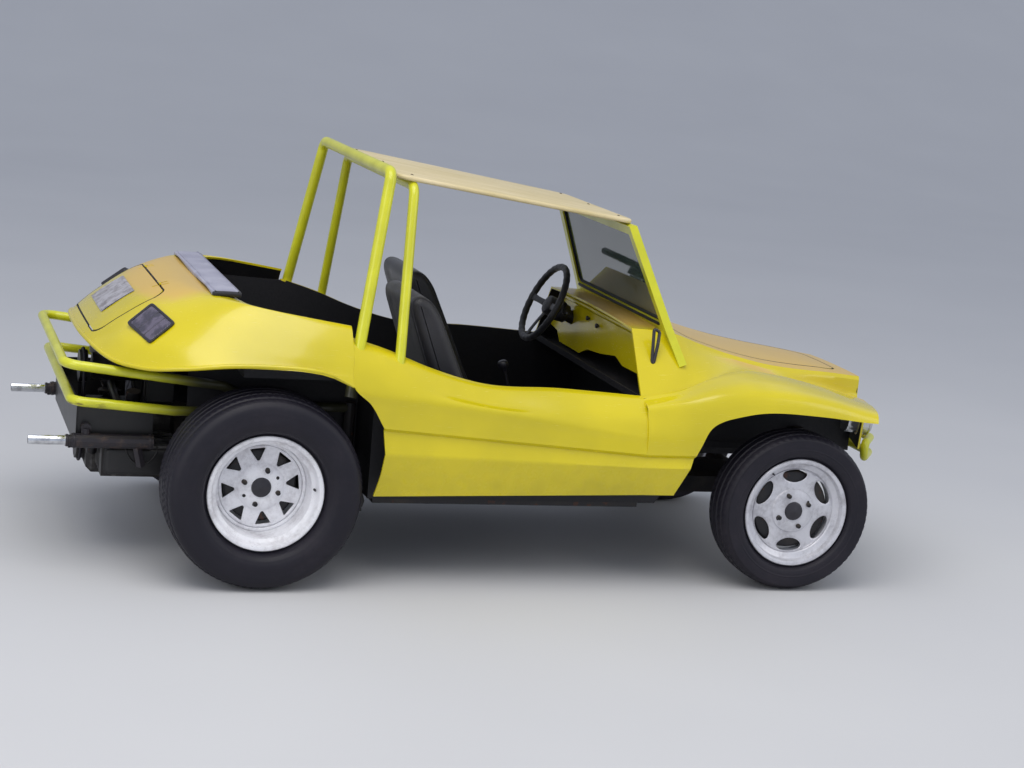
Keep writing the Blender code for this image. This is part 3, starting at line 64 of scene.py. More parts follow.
class Wire:
    """A socket of a shader tree; arithmetic on it adds Math nodes, and add() puts in any other node."""

    def __init__(self, tree, socket=None):
        self.tree = tree
        self.socket = socket

    def feed(self, socket, value):
        """Link a wire to a socket, or set a number, vector or colour on it."""
        if isinstance(value, Wire):
            self.tree.links.new(value.socket, socket)
        else:
            socket.default_value = value

    def add(self, kind, settings=None, values=None, out=0):
        """A node of a type, its settings, then its inputs by name or number; gives one output."""
        node = self.tree.nodes.new("ShaderNode" + kind)
        for key, value in (settings or {}).items():
            setattr(node, key, value)
        for key, value in (values or {}).items():
            self.feed(node.inputs[key], value)
        return Wire(self.tree, node.outputs[out])

    def maths(self, operation, *parts):
        """One Math node over the parts."""
        return self.add("Math", {"operation": operation}, dict(enumerate(parts)))

    def __add__(self, other):
        return self.maths("ADD", self, other)

    def __sub__(self, other):
        return self.maths("SUBTRACT", self, other)

    def __rsub__(self, other):
        return self.maths("SUBTRACT", other, self)

    def __mul__(self, other):
        return self.maths("MULTIPLY", self, other)

    def ramp(self, low, high, start=0.0, end=1.0):
        """This value carried smoothly from a range to another one."""
        return self.add("MapRange", {"interpolation_type": "SMOOTHSTEP"},
                        {"Value": self, "From Min": low, "From Max": high, "To Min": start, "To Max": end})

    def between(self, one, two):
        """A colour between two, by this value; each is a wire or three numbers up to 255."""
        one, two = (part if isinstance(part, Wire) else colour(*part) for part in (one, two))
        return self.add("Mix", {"data_type": "RGBA"}, {0: self, 6: one, 7: two}, out=2)

    def place(self, stretch=None):
        """Object coordinates, stretched along each axis if asked."""
        spot = self.add("TexCoord", out="Object")
        return self.add("VectorMath", {"operation": "MULTIPLY"}, {0: spot, 1: stretch}) if stretch else spot

    def noise(self, scale, detail=3.0, rough=0.55, stretch=None):
        """Fractal noise of a size over the object, from 0 to 1."""
        return self.add("TexNoise", {}, {"Vector": self.place(stretch), "Scale": scale,
                                         "Detail": detail, "Roughness": rough})

    def cells(self, scale, feature="F1"):
        """Distances in a cell pattern of a size over the object."""
        return self.add("TexVoronoi", {"feature": feature}, {"Vector": self.place(), "Scale": scale})

    def axis(self, name, source="Object"):
        """One coordinate of the place, or of the normal, on the object."""
        return self.add("SeparateXYZ", {}, {0: self.add("TexCoord", out=source)}, out=name)

    def bump(self, height, distance, strength=1.0):
        """A normal from a height in metres times distance."""
        return self.add("Bump", {}, {"Strength": strength, "Distance": distance, "Height": height})


def colour(red, green, blue):
    """A screen colour of three numbers up to 255 as the linear colour of a shader."""
    share = np.array([red, green, blue]) / 255
    return (*np.where(share < 0.04045, share / 12.92, ((share + 0.055) / 1.055) ** 2.4).tolist(), 1.0)


def finish_of(name, surface, **constants):
    """A material: its constants stand on the shader, and surface(wire) gives what varies, by socket."""
    made = bpy.data.materials.new(name)
    made.use_nodes = True
    shader = made.node_tree.nodes["Principled BSDF"]
    for key, value in constants.items():
        shader.inputs[key.replace("_", " ")].default_value = value
    for key, wire in surface(Wire(made.node_tree)).items():
        made.node_tree.links.new(wire.socket, shader.inputs[key])
    return made


def floor_finish(wire):
    """A pale matt floor, hardly uneven."""
    cloud = wire.noise(0.6, 2.0)
    return {"Base Color": cloud.between((196, 196, 198), (204, 204, 205)),
            "Roughness": cloud.ramp(0.3, 0.7, 0.75, 0.85)}


def floor_surface():
    """Ground that runs flat under the car and bends up far behind it: height grows with the square."""
    across, along = np.meshgrid(np.linspace(-40, 40, 21), np.linspace(-30, 60, 61))
    height = np.clip(along - 14.0, 0.0, None) ** 2 * 0.02
    return np.stack([across, along, height], -1)


def mesh_of(grid, around=False, along=False, caps=(False, False)):
    """Quads between neighbours of a grid of points, closed round its columns or rows, its ends filled."""
    rows, columns = grid.shape[:2]
    number = np.arange(rows * columns).reshape(rows, columns)
    cells = np.vstack([number, number[:1]]) if along else number
    cells = np.hstack([cells, cells[:, :1]]) if around else cells
    faces = np.stack([cells[:-1, :-1], cells[:-1, 1:], cells[1:, 1:], cells[1:, :-1]], -1)
    faces = faces.reshape(-1, 4).tolist()
    faces += [number[0, ::-1].tolist()] * caps[0] + [number[-1].tolist()] * caps[1]
    mesh = bpy.data.meshes.new("made")
    mesh.from_pydata(grid.reshape(-1, 3).tolist(), [], faces)
    return mesh


def joined(*meshes):
    """Several meshes as one."""
    work = bmesh.new()
    for mesh in meshes:
        work.from_mesh(mesh)
        bpy.data.meshes.remove(mesh)
    mesh = bpy.data.meshes.new("made")
    work.to_mesh(mesh)
    work.free()
    return mesh


def smoothed(mesh, sharp):
    """Shade a mesh smooth, and keep the edges that bend by more than an angle in degrees."""
    mesh.polygons.foreach_set("use_smooth", [True] * len(mesh.polygons))
    mesh.set_sharp_from_angle(angle=math.radians(sharp))


def piece_of(name, mesh, finish, sharp=40.0, close=1e-5, outward=True):
    """An object of a mesh, its doubled points merged, its faces turned outward and smooth up to an angle."""
    work = bmesh.new()
    work.from_mesh(mesh)
    bmesh.ops.remove_doubles(work, verts=work.verts[:], dist=close)
    bmesh.ops.dissolve_degenerate(work, edges=work.edges[:], dist=1e-6)
    if outward:
        bmesh.ops.recalc_face_normals(work, faces=work.faces[:])
    work.to_mesh(mesh)
    work.free()
    smoothed(mesh, sharp)
    mesh.materials.clear()
    mesh.materials.append(finish)
    made = bpy.data.objects.new(name, mesh)
    bpy.context.scene.collection.objects.link(made)
    return made


def dress(finish, *nodes):
    """Give CAD nodes a finish."""
    for node in nodes:
        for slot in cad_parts[node].material_slots:
            slot.material = finish


floor = piece_of("floor", mesh_of(floor_surface()),
                 finish_of("floor_pale", floor_finish, Specular_IOR_Level=0.2), 35.0, outward=False)

world = bpy.data.worlds.new("sky")
world.use_nodes = True
world.node_tree.nodes["Background"].inputs["Color"].default_value = (0.80, 0.86, 1.0, 1.0)
world.node_tree.nodes["Background"].inputs["Strength"].default_value = 0.66
bpy.context.scene.world = world
for name, spot, aim, size, power in (("panel_above", (-1.5, -3.0, 7.0), (0, 0, 0.5), 6.0, 330.0),
                                     ("panel_side", (-6.5, -5.5, 3.2), (0, 0, 0.7), 4.0, 95.0),
                                     ("panel_front", (6.0, -4.0, 4.0), (0.3, 0, 0.6), 4.0, 70.0)):
    lamp = bpy.data.lights.new(name, "AREA")
    lamp.size = size
    lamp.energy = power
    lamp.color = (1.0, 0.97, 0.92)
    holder = bpy.data.objects.new(name, lamp)
    bpy.context.scene.collection.objects.link(holder)
    holder.matrix_world = (Matrix.Translation(spot)
                           @ (Vector(aim) - Vector(spot)).to_track_quat("-Z", "Y").to_matrix().to_4x4())

# Floorpan, axles and knuckles
# The floorpan, its fork and tubes, the gearbox with its axle tubes and the front beam are black-painted
# steel under years of road dust, thickest on what faces up and near the ground.


def chassis_finish(wire):
    """Black paint: dust gathers by noise and on upper faces, rust shows in small spots, both dull it."""
    dust = (wire.noise(9.0, 5.0) * 0.6 + wire.axis("Z", "Normal") * 0.25 + 0.1).ramp(0.35, 0.75)
    rust = wire.noise(31.0, 4.0).ramp(0.60, 0.70)
    paint = dust.between((24, 23, 27), (74, 66, 58))
    return {"Base Color": (rust * 0.55).between(paint, (92, 52, 30)),
            "Roughness": dust * 0.35 + 0.45 + rust * 0.1,
            "Normal": wire.bump(wire.noise(160.0, 3.0) + rust * 0.6, 0.0015, 0.5)}


chassis_paint = finish_of("chassis_paint", chassis_finish, Metallic=0.1)
dress(chassis_paint, "chassis", "rear_axle", "front_axle", "knuckle_right", "knuckle_left")

# Tyres
# Wide smooth-sided radials of black rubber, fitted over the rims' bead seats. Grooves run round the tread,
# six behind and four in front, between ribs that fine cuts divide; each sidewall has two thin rings.

SIDES = (("right", -1), ("left", 1))
REAR, FRONT = -0.870, 1.180
# Each axle's name, its x, the y of its rims' outer flange, the tyre's radius and the rim's width
AXLES = (("rear", REAR, 0.790, 0.353, 0.215), ("front", FRONT, 0.757, 0.306, 0.150))
TYRE_TURNS = 264


def rubber_finish(wire):
    """Rubber: blue-black where it is scrubbed, browner with dust towards the tread and in patches."""
    dust = (wire.noise(5.0, 4.0) * 0.8 + wire.noise(60.0, 2.0) * 0.25).ramp(0.45, 0.85)
    return {"Base Color": dust.between((20, 18, 29), (40, 36, 44)),
            "Roughness": dust * 0.25 + 0.52,
            "Normal": wire.bump(wire.noise(420.0, 2.0) + wire.noise(40.0, 2.0) * 0.5, 0.0006, 0.35)}


def full_turn(count):
    """Angles evenly spaced over one turn."""
    return np.linspace(0, 2 * np.pi, count, endpoint=False)


def spline(rows, steps, sharp=()):
    """Catmull-Rom through rows, with steps between each two; at a sharp row the curve is broken."""
    rows = np.asarray(rows, float)
    cuts = [0, *sharp, len(rows) - 1]
    read = []
    for first, last in zip(cuts[:-1], cuts[1:]):
        part = rows[first:last + 1]
        ends = np.concatenate([[2 * part[0] - part[1]], part, [2 * part[-1] - part[-2]]])
        place = np.linspace(0, last - first, round((last - first) * steps) + 1)
        index = np.minimum(place.astype(int), last - first - 1)
        share = (place - index).reshape((-1,) + (1,) * (rows.ndim - 1))
        before, here, there, after = (ends[index + step] for step in range(4))
        bow = (2 * before - 5 * here + 4 * there - after) * share ** 2
        line = 0.5 * (2 * here + (there - before) * share + bow
                      + (3 * here - before - 3 * there + after) * share ** 3)
        read.append(line if first == cuts[0] else line[1:])
    return np.concatenate(read)


def tyre_surface(width, tyre_width, radius, grooves, cuts):
    """A tyre about the Y axis, outer side first, as rows of points round a section.

    The section is a bead, a wall that swells to the tyre's width, a squared shoulder and a crowned tread.
    The tread sinks deepest near each groove's line and less in the cuts, which lean across each rib. Rings
    on the wall stand proud of it by a narrow bell.
    """
    groove_deep, cut_deep, ring_high = 0.0065, 0.0028, 0.0016
    bulge = (tyre_width - width) / 2 - 0.0005
    half = tyre_width / 2
    middle = width / 2
    bead = 0.1888
    wall = np.array([(bead + 0.001, -0.0205), (bead + 0.012, -0.013), (0.2135, -0.0105), (0.2165, -0.004),
                     (0.226, 0.45 * bulge + 0.002), (0.244, 0.86 * bulge), (0.262, bulge),
                     (0.284, 0.99 * bulge), (radius - 0.046, 0.93 * bulge), (radius - 0.030, 0.78 * bulge),
                     (radius - 0.016, 0.42 * bulge), (radius - 0.007, -0.15 * bulge - 0.004),
                     (radius - 0.0022, -0.016 - 0.3 * bulge)])
    wall = spline(wall, 73 / 12)
    for ring in (0.238, radius - 0.058):
        wall[:, 1] += ring_high * np.exp(-((wall[:, 0] - ring) / 0.0016) ** 2)
    inner = wall[-1, 1] + middle
    across = np.linspace(inner, -inner, 78)[1:-1]
    tread = np.stack([radius - 0.0022 * (across / inner) ** 2, across - middle], 1)
    section = np.vstack([wall, tread, np.stack([wall[::-1, 0], -width - wall[::-1, 1]], 1)])
    turn = full_turn(TYRE_TURNS)
    reach = np.repeat(section[:, :1], TYRE_TURNS, 1)
    along = np.repeat(section[:, 1:], TYRE_TURNS, 1)
    off = along + middle
    depth = np.zeros_like(reach)
    for line in grooves:
        depth = np.maximum(depth, np.clip(1.6 - np.abs(off - line) / 0.0028, 0, 1) * groove_deep)
    phase = (turn[None] * cuts / (2 * np.pi) + off * 14.0) % 1.0
    on_tread = reach > radius - 0.016
    in_cut = (np.abs(phase - 0.5) < 0.13) * (np.abs(off) > 0.2 * half)
    depth = np.maximum(depth, in_cut * cut_deep) * on_tread
    reach = reach - depth
    return np.stack([reach * np.cos(turn), along, reach * np.sin(turn)], -1)


rubber = finish_of("tyre_rubber", rubber_finish, Specular_IOR_Level=0.35)
TREADS = ((0.288, (-0.098, -0.060, -0.021, 0.021, 0.060, 0.098), 88),
          (0.185, (-0.056, -0.020, 0.020, 0.056), 66))
for (axle, axle_x, flange, radius, width), (tyre_width, grooves, cuts) in zip(AXLES, TREADS):
    for side, hand in SIDES:
        grid = tyre_surface(width, tyre_width, radius, grooves, cuts)
        grid = grid * (1, hand, 1) + (axle_x, hand * flange, radius)
        tyre = piece_of("rubber_" + axle + "_" + side, mesh_of(grid, around=True, along=True), rubber, 42.0)
        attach(tyre, "wheel_" + axle + "_" + side)
        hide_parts("tyre_" + axle + "_" + side)

# Rims
# Welded steel rims: a rolled barrel with a deep dish behind and a shallow one in front, and a pressed disc
# with windows, held by four dark nuts. The rear ones are painted white, the front ones silver.


def rim_paint(lit, worn):
    """A rim's paint: brake dust towards the middle and in patches, chips of darker metal."""
    def surface(wire):
        dust = (wire.noise(11.0, 5.0) * 0.7 + wire.noise(75.0, 2.0) * 0.3).ramp(0.42, 0.72)
        chips = wire.cells(260.0).ramp(0.10, 0.16, 1.0, 0.0) * wire.noise(17.0, 2.0).ramp(0.55, 0.62)
        paint = (dust * 0.65).between(lit, worn)
        return {"Base Color": (chips * 0.8).between(paint, (70, 62, 58)),
                "Roughness": dust * 0.25 + 0.28 + chips * 0.3,
                "Normal": wire.bump(wire.noise(300.0, 2.0) - chips, 0.0006, 0.3)}
    return surface


def lathe(profile, turns, ring=False):
    """Points (reach, along) turned round the Y axis, as a mesh; a ring's profile is closed."""
    profile = np.asarray(profile, float)
    turn = full_turn(turns)
    return mesh_of(np.stack([profile[:, :1] * np.cos(turn), np.repeat(profile[:, 1:], turns, 1),
                             profile[:, :1] * np.sin(turn)], -1), around=True, along=ring)


def bend_of(one, corner, two, share):
    """A quadratic curve from one point to another, drawn towards a corner."""
    return (1 - share) ** 2 * one + 2 * share * (1 - share) * corner + share ** 2 * two


def window_loop(shape, round_by, steps):
    """A convex outline (reach, aside) with its corners rounded, as many points."""
    shape = np.asarray(shape, float)
    before = np.roll(shape, 1, 0) - shape
    after = np.roll(shape, -1, 0) - shape
    before = before / np.linalg.norm(before, axis=1)[:, None]
    after = after / np.linalg.norm(after, axis=1)[:, None]
    share = np.linspace(0, 1, steps)[None, :, None]
    one = (shape + before * round_by)[:, None]
    two = (shape + after * round_by)[:, None]
    return bend_of(one, shape[:, None], two, share).reshape(-1, 2)


def disc_sectors(count, shape, round_by, low, high, rise, phase):
    """A disc's ring of windows about the Y axis: each sector is drawn between its window and its border.

    A point runs from the border to the point of the window's edge at the same angle about the window's
    middle. Its height is that of rise(reach), less a rolled fall close to the window.
    """
    half = np.pi / count
    side = np.linspace(low, high, 13)[1:-1]
    outer = np.linspace(-half, half, 17)
    inner = np.linspace(-half, half, 11)
    border = np.concatenate([np.stack([high * np.cos(outer), high * np.sin(outer)], 1),
                             np.stack([side[::-1] * np.cos(half), side[::-1] * np.sin(half)], 1),
                             np.stack([low * np.cos(inner[::-1]), low * np.sin(inner[::-1])], 1),
                             np.stack([side * np.cos(half), -side * np.sin(half)], 1)])
    loop = window_loop(shape, round_by, 7) if round_by else np.asarray(shape, float)
    middle = np.array([loop[:, 0].mean(), 0.0])
    ahead = border - middle
    ahead = ahead / np.linalg.norm(ahead, axis=1)[:, None]
    start = loop - middle
    span = np.roll(start, -1, 0) - start
    cross = ahead[:, None, 0] * span[None, :, 1] - ahead[:, None, 1] * span[None, :, 0]
    cross = np.where(np.abs(cross) < 1e-12, 1e-12, cross)
    reach = (start[None, :, 0] * span[None, :, 1] - start[None, :, 1] * span[None, :, 0]) / cross
    part = (start[None, :, 0] * ahead[:, None, 1] - start[None, :, 1] * ahead[:, None, 0]) / cross
    good = (reach > 0) & (part > -1e-9) & (part < 1 + 1e-9)
    reach = np.where(good, reach, np.inf).min(1)
    edge = middle + ahead * reach[:, None]
    share = np.array([0.0, 0.35, 0.62, 0.80, 0.91, 0.97, 1.0])[:, None, None]
    flat = border[None] * (1 - share) + edge[None] * share
    fall = 0.0042 * np.clip((share[..., 0] - 0.62) / 0.38, 0, 1) ** 2
    length = np.hypot(flat[..., 0], flat[..., 1])
    grids = []
    for number in range(count):
        turn = 2 * np.pi * number / count + phase
        grids.append(np.stack([flat[..., 0] * np.cos(turn) - flat[..., 1] * np.sin(turn),
                               rise(length) - fall,
                               flat[..., 0] * np.sin(turn) + flat[..., 1] * np.cos(turn)], -1))
    turns = np.concatenate([2 * np.pi * number / count + phase + inner[:-1] for number in range(count)])
    wide = np.concatenate([2 * np.pi * number / count + phase + outer[:-1] for number in range(count)])
    return grids, turns, wide


def ring_between(low, high, turns, rise, steps):
    """A flat ring at given turns round the Y axis, its height given by rise(reach)."""
    reach = np.linspace(low, high, steps)[:, None]
    return np.stack([reach * np.cos(turns), np.repeat(rise(reach), len(turns), 1), reach * np.sin(turns)], -1)


def thicken(made, thickness):
    """Give a sheet a thickness inwards from its face, as a modifier."""
    wall = made.modifiers.new("wall", "SOLIDIFY")
    wall.thickness = thickness
    wall.offset = -1.0
    wall.use_even_offset = True
    return wall


def baked(made, sharp=30.0):
    """Turn an object's modifiers into its mesh."""
    bpy.context.view_layer.update()
    mesh = bpy.data.meshes.new_from_object(made.evaluated_get(bpy.context.evaluated_depsgraph_get()))
    made.modifiers.clear()
    made.data = mesh
    smoothed(mesh, sharp)
    return made


def settled(meshes, hand, x, y, z):
    """Meshes about the Y axis put on one side of the car, outward side first."""
    made = joined(*meshes)
    made.transform(Matrix.Translation((x, y, z)) @ Matrix.Diagonal((1, hand, 1, 1)))
    if hand < 0:
        made.flip_normals()
    return made


white_paint = finish_of("rim_white_paint", rim_paint((236, 236, 240), (176, 172, 176)),
                        Coat_Weight=0.3, Coat_Roughness=0.15)
silver_paint = finish_of("rim_silver_paint", rim_paint((206, 206, 212), (140, 137, 142)),
                         Coat_Weight=0.2, Coat_Roughness=0.2, Metallic=0.25)
nut_metal = finish_of("nut_metal", chassis_finish, Metallic=0.3)
cap_black = finish_of("cap_black", rubber_finish, Coat_Weight=0.4, Coat_Roughness=0.2)

for (axle, axle_x, flange, radius, width), dish in zip(AXLES, (0.115, 0.040)):
    deep = axle == "rear"
    count = 8 if deep else 6
    if deep:
        shape = [(0.093, -0.004), (0.1385, -0.0285), (0.1385, 0.0285), (0.093, 0.004)]
        round_by, low, high = 0.004, 0.083, 0.149
    else:
        turn = full_turn(40)
        shape = np.stack([0.1345 + 0.0250 * np.cos(turn),
                          0.0495 * np.sin(turn) * (1 + 0.14 * np.cos(turn))], 1)
        round_by, low, high = 0.0, 0.086, 0.1620
    hub = 0.012 if deep else 0.008

    def rise(reach, dish=dish, hub=hub, groove_at=0.1535):
        """The disc's height: a dome at the hub, a flat, and on the deep rims a pressed groove."""
        dome = hub * 0.5 * (1 - np.tanh((reach - 0.072) / 0.012))
        groove = (-0.0035 if dish > 0.1 else 0.0) * np.exp(-((reach - groove_at) / 0.003) ** 2)
        return dome + groove - dish - 0.001

    sectors, inner, outer = disc_sectors(count, shape, round_by, low, high, rise,
                                         math.radians(7.5 if deep else 31.0))
    disc = [mesh_of(grid, around=True) for grid in sectors]
    disc.append(mesh_of(ring_between(0.034, low, inner, rise, 12), around=True))
    disc.append(mesh_of(ring_between(high, 0.163, outer, rise, 9), around=True))
    barrel = [(0.163, -dish - 0.0012), (0.165, -dish + 0.004), (0.1665, -dish + 0.016), (0.1685, -0.048),
              (0.172, -0.036), (0.182, -0.030), (0.1865, -0.024), (0.1885, -0.012), (0.1925, -0.0035),
              (0.199, -0.0005), (0.2055, -0.0005), (0.2082, -0.003), (0.2082, -0.008), (0.2055, -0.0105),
              (0.201, -0.0100), (0.1955, -0.0125), (0.1915, -0.022), (0.1905, -0.040), (0.176, -0.054),
              (0.1715, -0.064), (0.1695, -dish - 0.012), (0.1695, 0.052 - width), (0.1905, 0.036 - width),
              (0.1915, 0.020 - width), (0.1955, 0.0125 - width), (0.2055, 0.0105 - width),
              (0.2082, 0.006 - width), (0.2055, 0.001 - width), (0.1925, 0.003 - width),
              (0.1850, 0.016 - width), (0.1835, 0.034 - width), (0.1655, 0.048 - width),
              (0.1640, -dish - 0.014), (0.160, -dish - 0.0062)]
    if not deep:
        barrel = barrel[:2] + [(0.1700, -0.033), (0.1790, -0.029)] + barrel[6:]
    top = hub - dish
    cap = np.array([(0.0, 0.017), (0.008, 0.0168), (0.010, 0.0152), (0.026, 0.0145), (0.0335, 0.011),
                    (0.0365, 0.003), (0.0405, 0.001), (0.0415, -0.002), (0.038, -0.006),
                    (0.0, -0.006)]) + (0, top)
    nut = [(0.0, 0.017), (0.0050, 0.0165), (0.0083, 0.0145), (0.0088, 0.001), (0.0105, -0.001),
           (0.0108, -0.006), (0.0, -0.006)]
    plug = [(0.0, 0.0035), (0.0055, 0.003), (0.0066, 0.0), (0.0, -0.002)]
    first_nut = -17.0 if deep else 24.0
    bolted = [(nut, 18, 0.0635, first_nut + 90.0 * number) for number in range(4)]
    bolted += [(plug, 20, 0.067, degrees) for degrees in (31.0, 208.0)]
    stem = [(0.0, 0.012), (0.0028, 0.0118), (0.0032, 0.004), (0.0042, 0.002), (0.0050, -0.012), (0.0, -0.012)]
    drum = [(0.046, 0.0), (0.118, -0.001), (0.130, -0.006), (0.132, -0.012), (0.1295, -0.015),
            (0.1295, -0.030), (0.1325, -0.033), (0.1325, -0.045), (0.1265, -0.045), (0.1245, -0.010),
            (0.115, -0.006), (0.046, -0.006)]
    drum = np.array(drum) * (1.0 if deep else 1.13, 1.0) + (0, -dish - 0.0125)
    paint = white_paint if deep else silver_paint
    for side, hand in SIDES:
        which = axle + "_" + side
        place = (hand, axle_x, hand * flange, radius)
        face = piece_of("disc_" + which, settled([mesh.copy() for mesh in disc], *place), paint, 50.0, 2e-5,
                        outward=False)
        if sum(polygon.normal.y * hand * polygon.area for polygon in face.data.polygons) < 0:
            face.data.flip_normals()
        thicken(face, 0.005)
        baked(face, 35.0)
        rim = piece_of("barrel_" + which, settled([lathe(barrel, 120, True)], *place), paint)
        cover = piece_of("cap_" + which, settled([lathe(cap, 40)], *place), cap_black)
        studs = []
        for profile, turns, reach, degrees in bolted:
            turn = math.radians(degrees)
            stud = lathe(profile, turns)
            stud.transform(Matrix.Translation((reach * math.cos(turn), top, reach * math.sin(turn))))
            studs.append(stud)
        nuts = piece_of("nuts_" + which, settled(studs, *place), nut_metal, 30.0)
        tube = lathe(stem, 14)
        tube.transform(Matrix.Translation((0.178, -0.026, 0.012) if deep else (-0.100, -0.030, 0.143)))
        valve = piece_of("valve_" + which, settled([tube], *place), cap_black)
        brake = piece_of("drum_" + which, settled([lathe(drum, 72, True)], *place), chassis_paint)
        for made in (face, rim, cover, nuts, valve, brake):
            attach(made, "wheel_" + which)
        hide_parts("rim_" + which)

# Body
# The body is laid up in glass fibre about 8 mm thick and sprayed yellow. Tail, flanks and nose are drawn
# from the same lines as the solids, much finer; two lids are cut from their skins and hang on straps.

LAID_UP = 0.008


def paint_finish(wire):
    """Yellow gloss paint: tan on the upward middle of deck and hood, greener in patches, grimy low down,
    faintly scratched.
    """
    up = wire.axis("Z", "Normal")
    patch = wire.noise(2.2, 4.0).ramp(0.35, 0.70)
    # Tan on the upward faces, kept to the middle of the deck and of the hood.
    tan_on_top = (up.ramp(0.74, 0.96) * 0.85 + wire.noise(14.0, 4.0) * 0.5 - 0.25).ramp(0.25, 0.75)
    tan_on_top = tan_on_top * wire.maths("ABSOLUTE", wire.axis("Y")).ramp(0.52, 0.40)
    tan_on_top = tan_on_top * wire.maths("MAXIMUM", wire.axis("Z").ramp(0.85, 0.93), wire.axis("X").ramp(0.0, 0.2))
    low = wire.axis("Z").ramp(0.55, 0.34) * wire.noise(18.0, 5.0).ramp(0.40, 0.70)
    scratch = wire.noise(24.0, 5.0, 0.7, (0.6, 2.0, 9.0)).ramp(0.62, 0.70)
    paint = patch.between((214, 196, 10), (200, 184, 12))
    paint = (tan_on_top * 0.72).between(paint, (216, 172, 98))
    paint = (low * 0.10).between(paint, (126, 112, 40))
    return {"Base Color": (scratch * 0.10).between(paint, (236, 228, 140)),
            "Roughness": tan_on_top * 0.28 + low * 0.3 + 0.24 + scratch * 0.12,
            "Normal": wire.bump(wire.noise(190.0, 2.0) + wire.noise(7.0, 3.0) * 4.0 + scratch * -0.2,
                                0.0009, 0.35)}


def fibre_finish(wire):
    """The skins' dark inner face: brushed-on black over a coarse mat of fibres, with dust."""
    strand = wire.noise(30.0, 6.0, 0.75, (1.0, 3.0, 1.6)) * 0.6 + wire.cells(130.0) * 0.5
    dust = wire.noise(6.0, 4.0).ramp(0.45, 0.8)
    return {"Base Color": (dust * 0.5).between((13, 12, 17), (40, 36, 34)),
            "Roughness": strand * 0.2 + 0.68,
            "Normal": wire.bump(strand, 0.0016, 0.6)}


body_paint = finish_of("body_paint", paint_finish, Coat_Weight=0.45, Coat_Roughness=0.10)
body_inside = finish_of("body_inside", fibre_finish)


def height_on(line, x):
    """The height at each x of a smooth line through (x, height) points, with the points' mean slopes."""
    along, height = np.array(line, float).T
    slope = np.gradient(height, along)
    x = np.asarray(x, float)
    index = np.clip(np.searchsorted(along, x) - 1, 0, len(along) - 2)
    span = along[index + 1] - along[index]
    share = np.clip((x - along[index]) / span, 0.0, 1.0)
    rise = height[index + 1] - height[index]
    start = slope[index] * span - rise
    end = rise - slope[index + 1] * span
    return height[index] + share * rise + share * (1 - share) * ((1 - share) * start + share * end)


CAR_HALF = 0.805
# x from the rear axle of the seam between tail and flanks, and of the one between flanks and nose
SEAM, NOSE_SEAM = 0.285, 1.420
ARCH_REAR = ((-0.622, 0.810), (-0.60, 0.797), (-0.55, 0.770), (-0.44, 0.758), (-0.31, 0.775),
             (-0.15, 0.800), (0.0, 0.807), (0.12, 0.802), (0.20, 0.789), (SEAM, 0.748))
RIM_LINE = ((SEAM, 0.905), (0.43, 0.862), (0.58, 0.806), (0.785, 0.753), (1.08, 0.744),
            (NOSE_SEAM, 0.724))


def tail_surface():
    """The tail: rows from the cockpit's rear rim down to the lip, each a superellipse seen from above.

    A row's point at turn t lies at x = seam - reach * cos(t) ^ (2 / n) and y = half * sin(t) ^ (2 / n); its
    height goes from the row's rear height to its front height by the share of x, and the lip's by the arch.
    """
    rows = np.array([(-0.100, 0.675, 0.992, 0.945, 5.5), (-0.180, 0.683, 1.006, 0.943, 4.2),
                     (-0.290, 0.702, 1.008, 0.930, 3.0), (-0.415, 0.738, 0.965, 0.885, 2.7),
                     (-0.520, 0.770, 0.893, 0.830, 2.7), (-0.580, 0.792, 0.840, 0.785, 2.8),
                     (-0.622, 0.805, 0.810, 0.748, 2.9)])
    turn = np.concatenate([np.linspace(-1, 0, 61), np.linspace(0, 1, 61)[1:]])
    size = np.abs(turn) * np.pi / 2
    made = []
    for number, (rear_x, half, rear_z, front_z, corner) in enumerate(rows):
        x = SEAM - (SEAM - rear_x) * np.maximum(np.cos(size), 0.0) ** (2 / corner)
        y = half * np.sin(size) ** (2 / corner) * np.sign(turn)
        share = np.clip((x - rear_x) / (SEAM - rear_x), 0.0, 1.0)
        z = rear_z + (front_z - rear_z) * share ** 1.2
        if number == len(rows) - 1:
            z = height_on(ARCH_REAR, x)
        made.append(np.stack([REAR + np.minimum(x, SEAM - 0.0002), y, z], -1))
    return spline(made, 7)


def side_surface():
    """The right flank: rows from the rim down to the sill, over a share from the arch to the nose."""
    rows = ((SEAM, 0.893, 0.712, 0.095, 0.095), (SEAM, 0.845, 0.665, 0.040, 0.040),
            (SEAM, 0.748, 0.600, 0.000, 0.018), (0.352, 0.684, 0.564, 0.001, 0.014),
            (0.404, 0.602, 0.527, 0.004, 0.010), (0.406, 0.590, 0.515, 0.016, 0.022),
            (0.415, 0.508, 0.478, 0.002, 0.008), (0.407, 0.420, 0.420, 0.022, 0.024),
            (0.392, 0.345, 0.367, 0.042, 0.044))
    share = np.linspace(0, 1, 91)
    x = SEAM + (NOSE_SEAM - SEAM) * share
    made = [np.stack([REAR + x, np.full(91, -0.6752), height_on(RIM_LINE, x)], -1)]
    for number, (start_x, start_z, end_z, start_in, end_in) in enumerate(rows):
        x = start_x + (NOSE_SEAM - start_x) * share
        z = start_z + (end_z - start_z) * share
        if number < 2:
            z = height_on(RIM_LINE, x) + start_z - RIM_LINE[0][1]
        made.append(np.stack([REAR + x, start_in + (end_in - start_in) * share - CAR_HALF, z], -1))
    return spline(made, 8, (5, 6, 7))


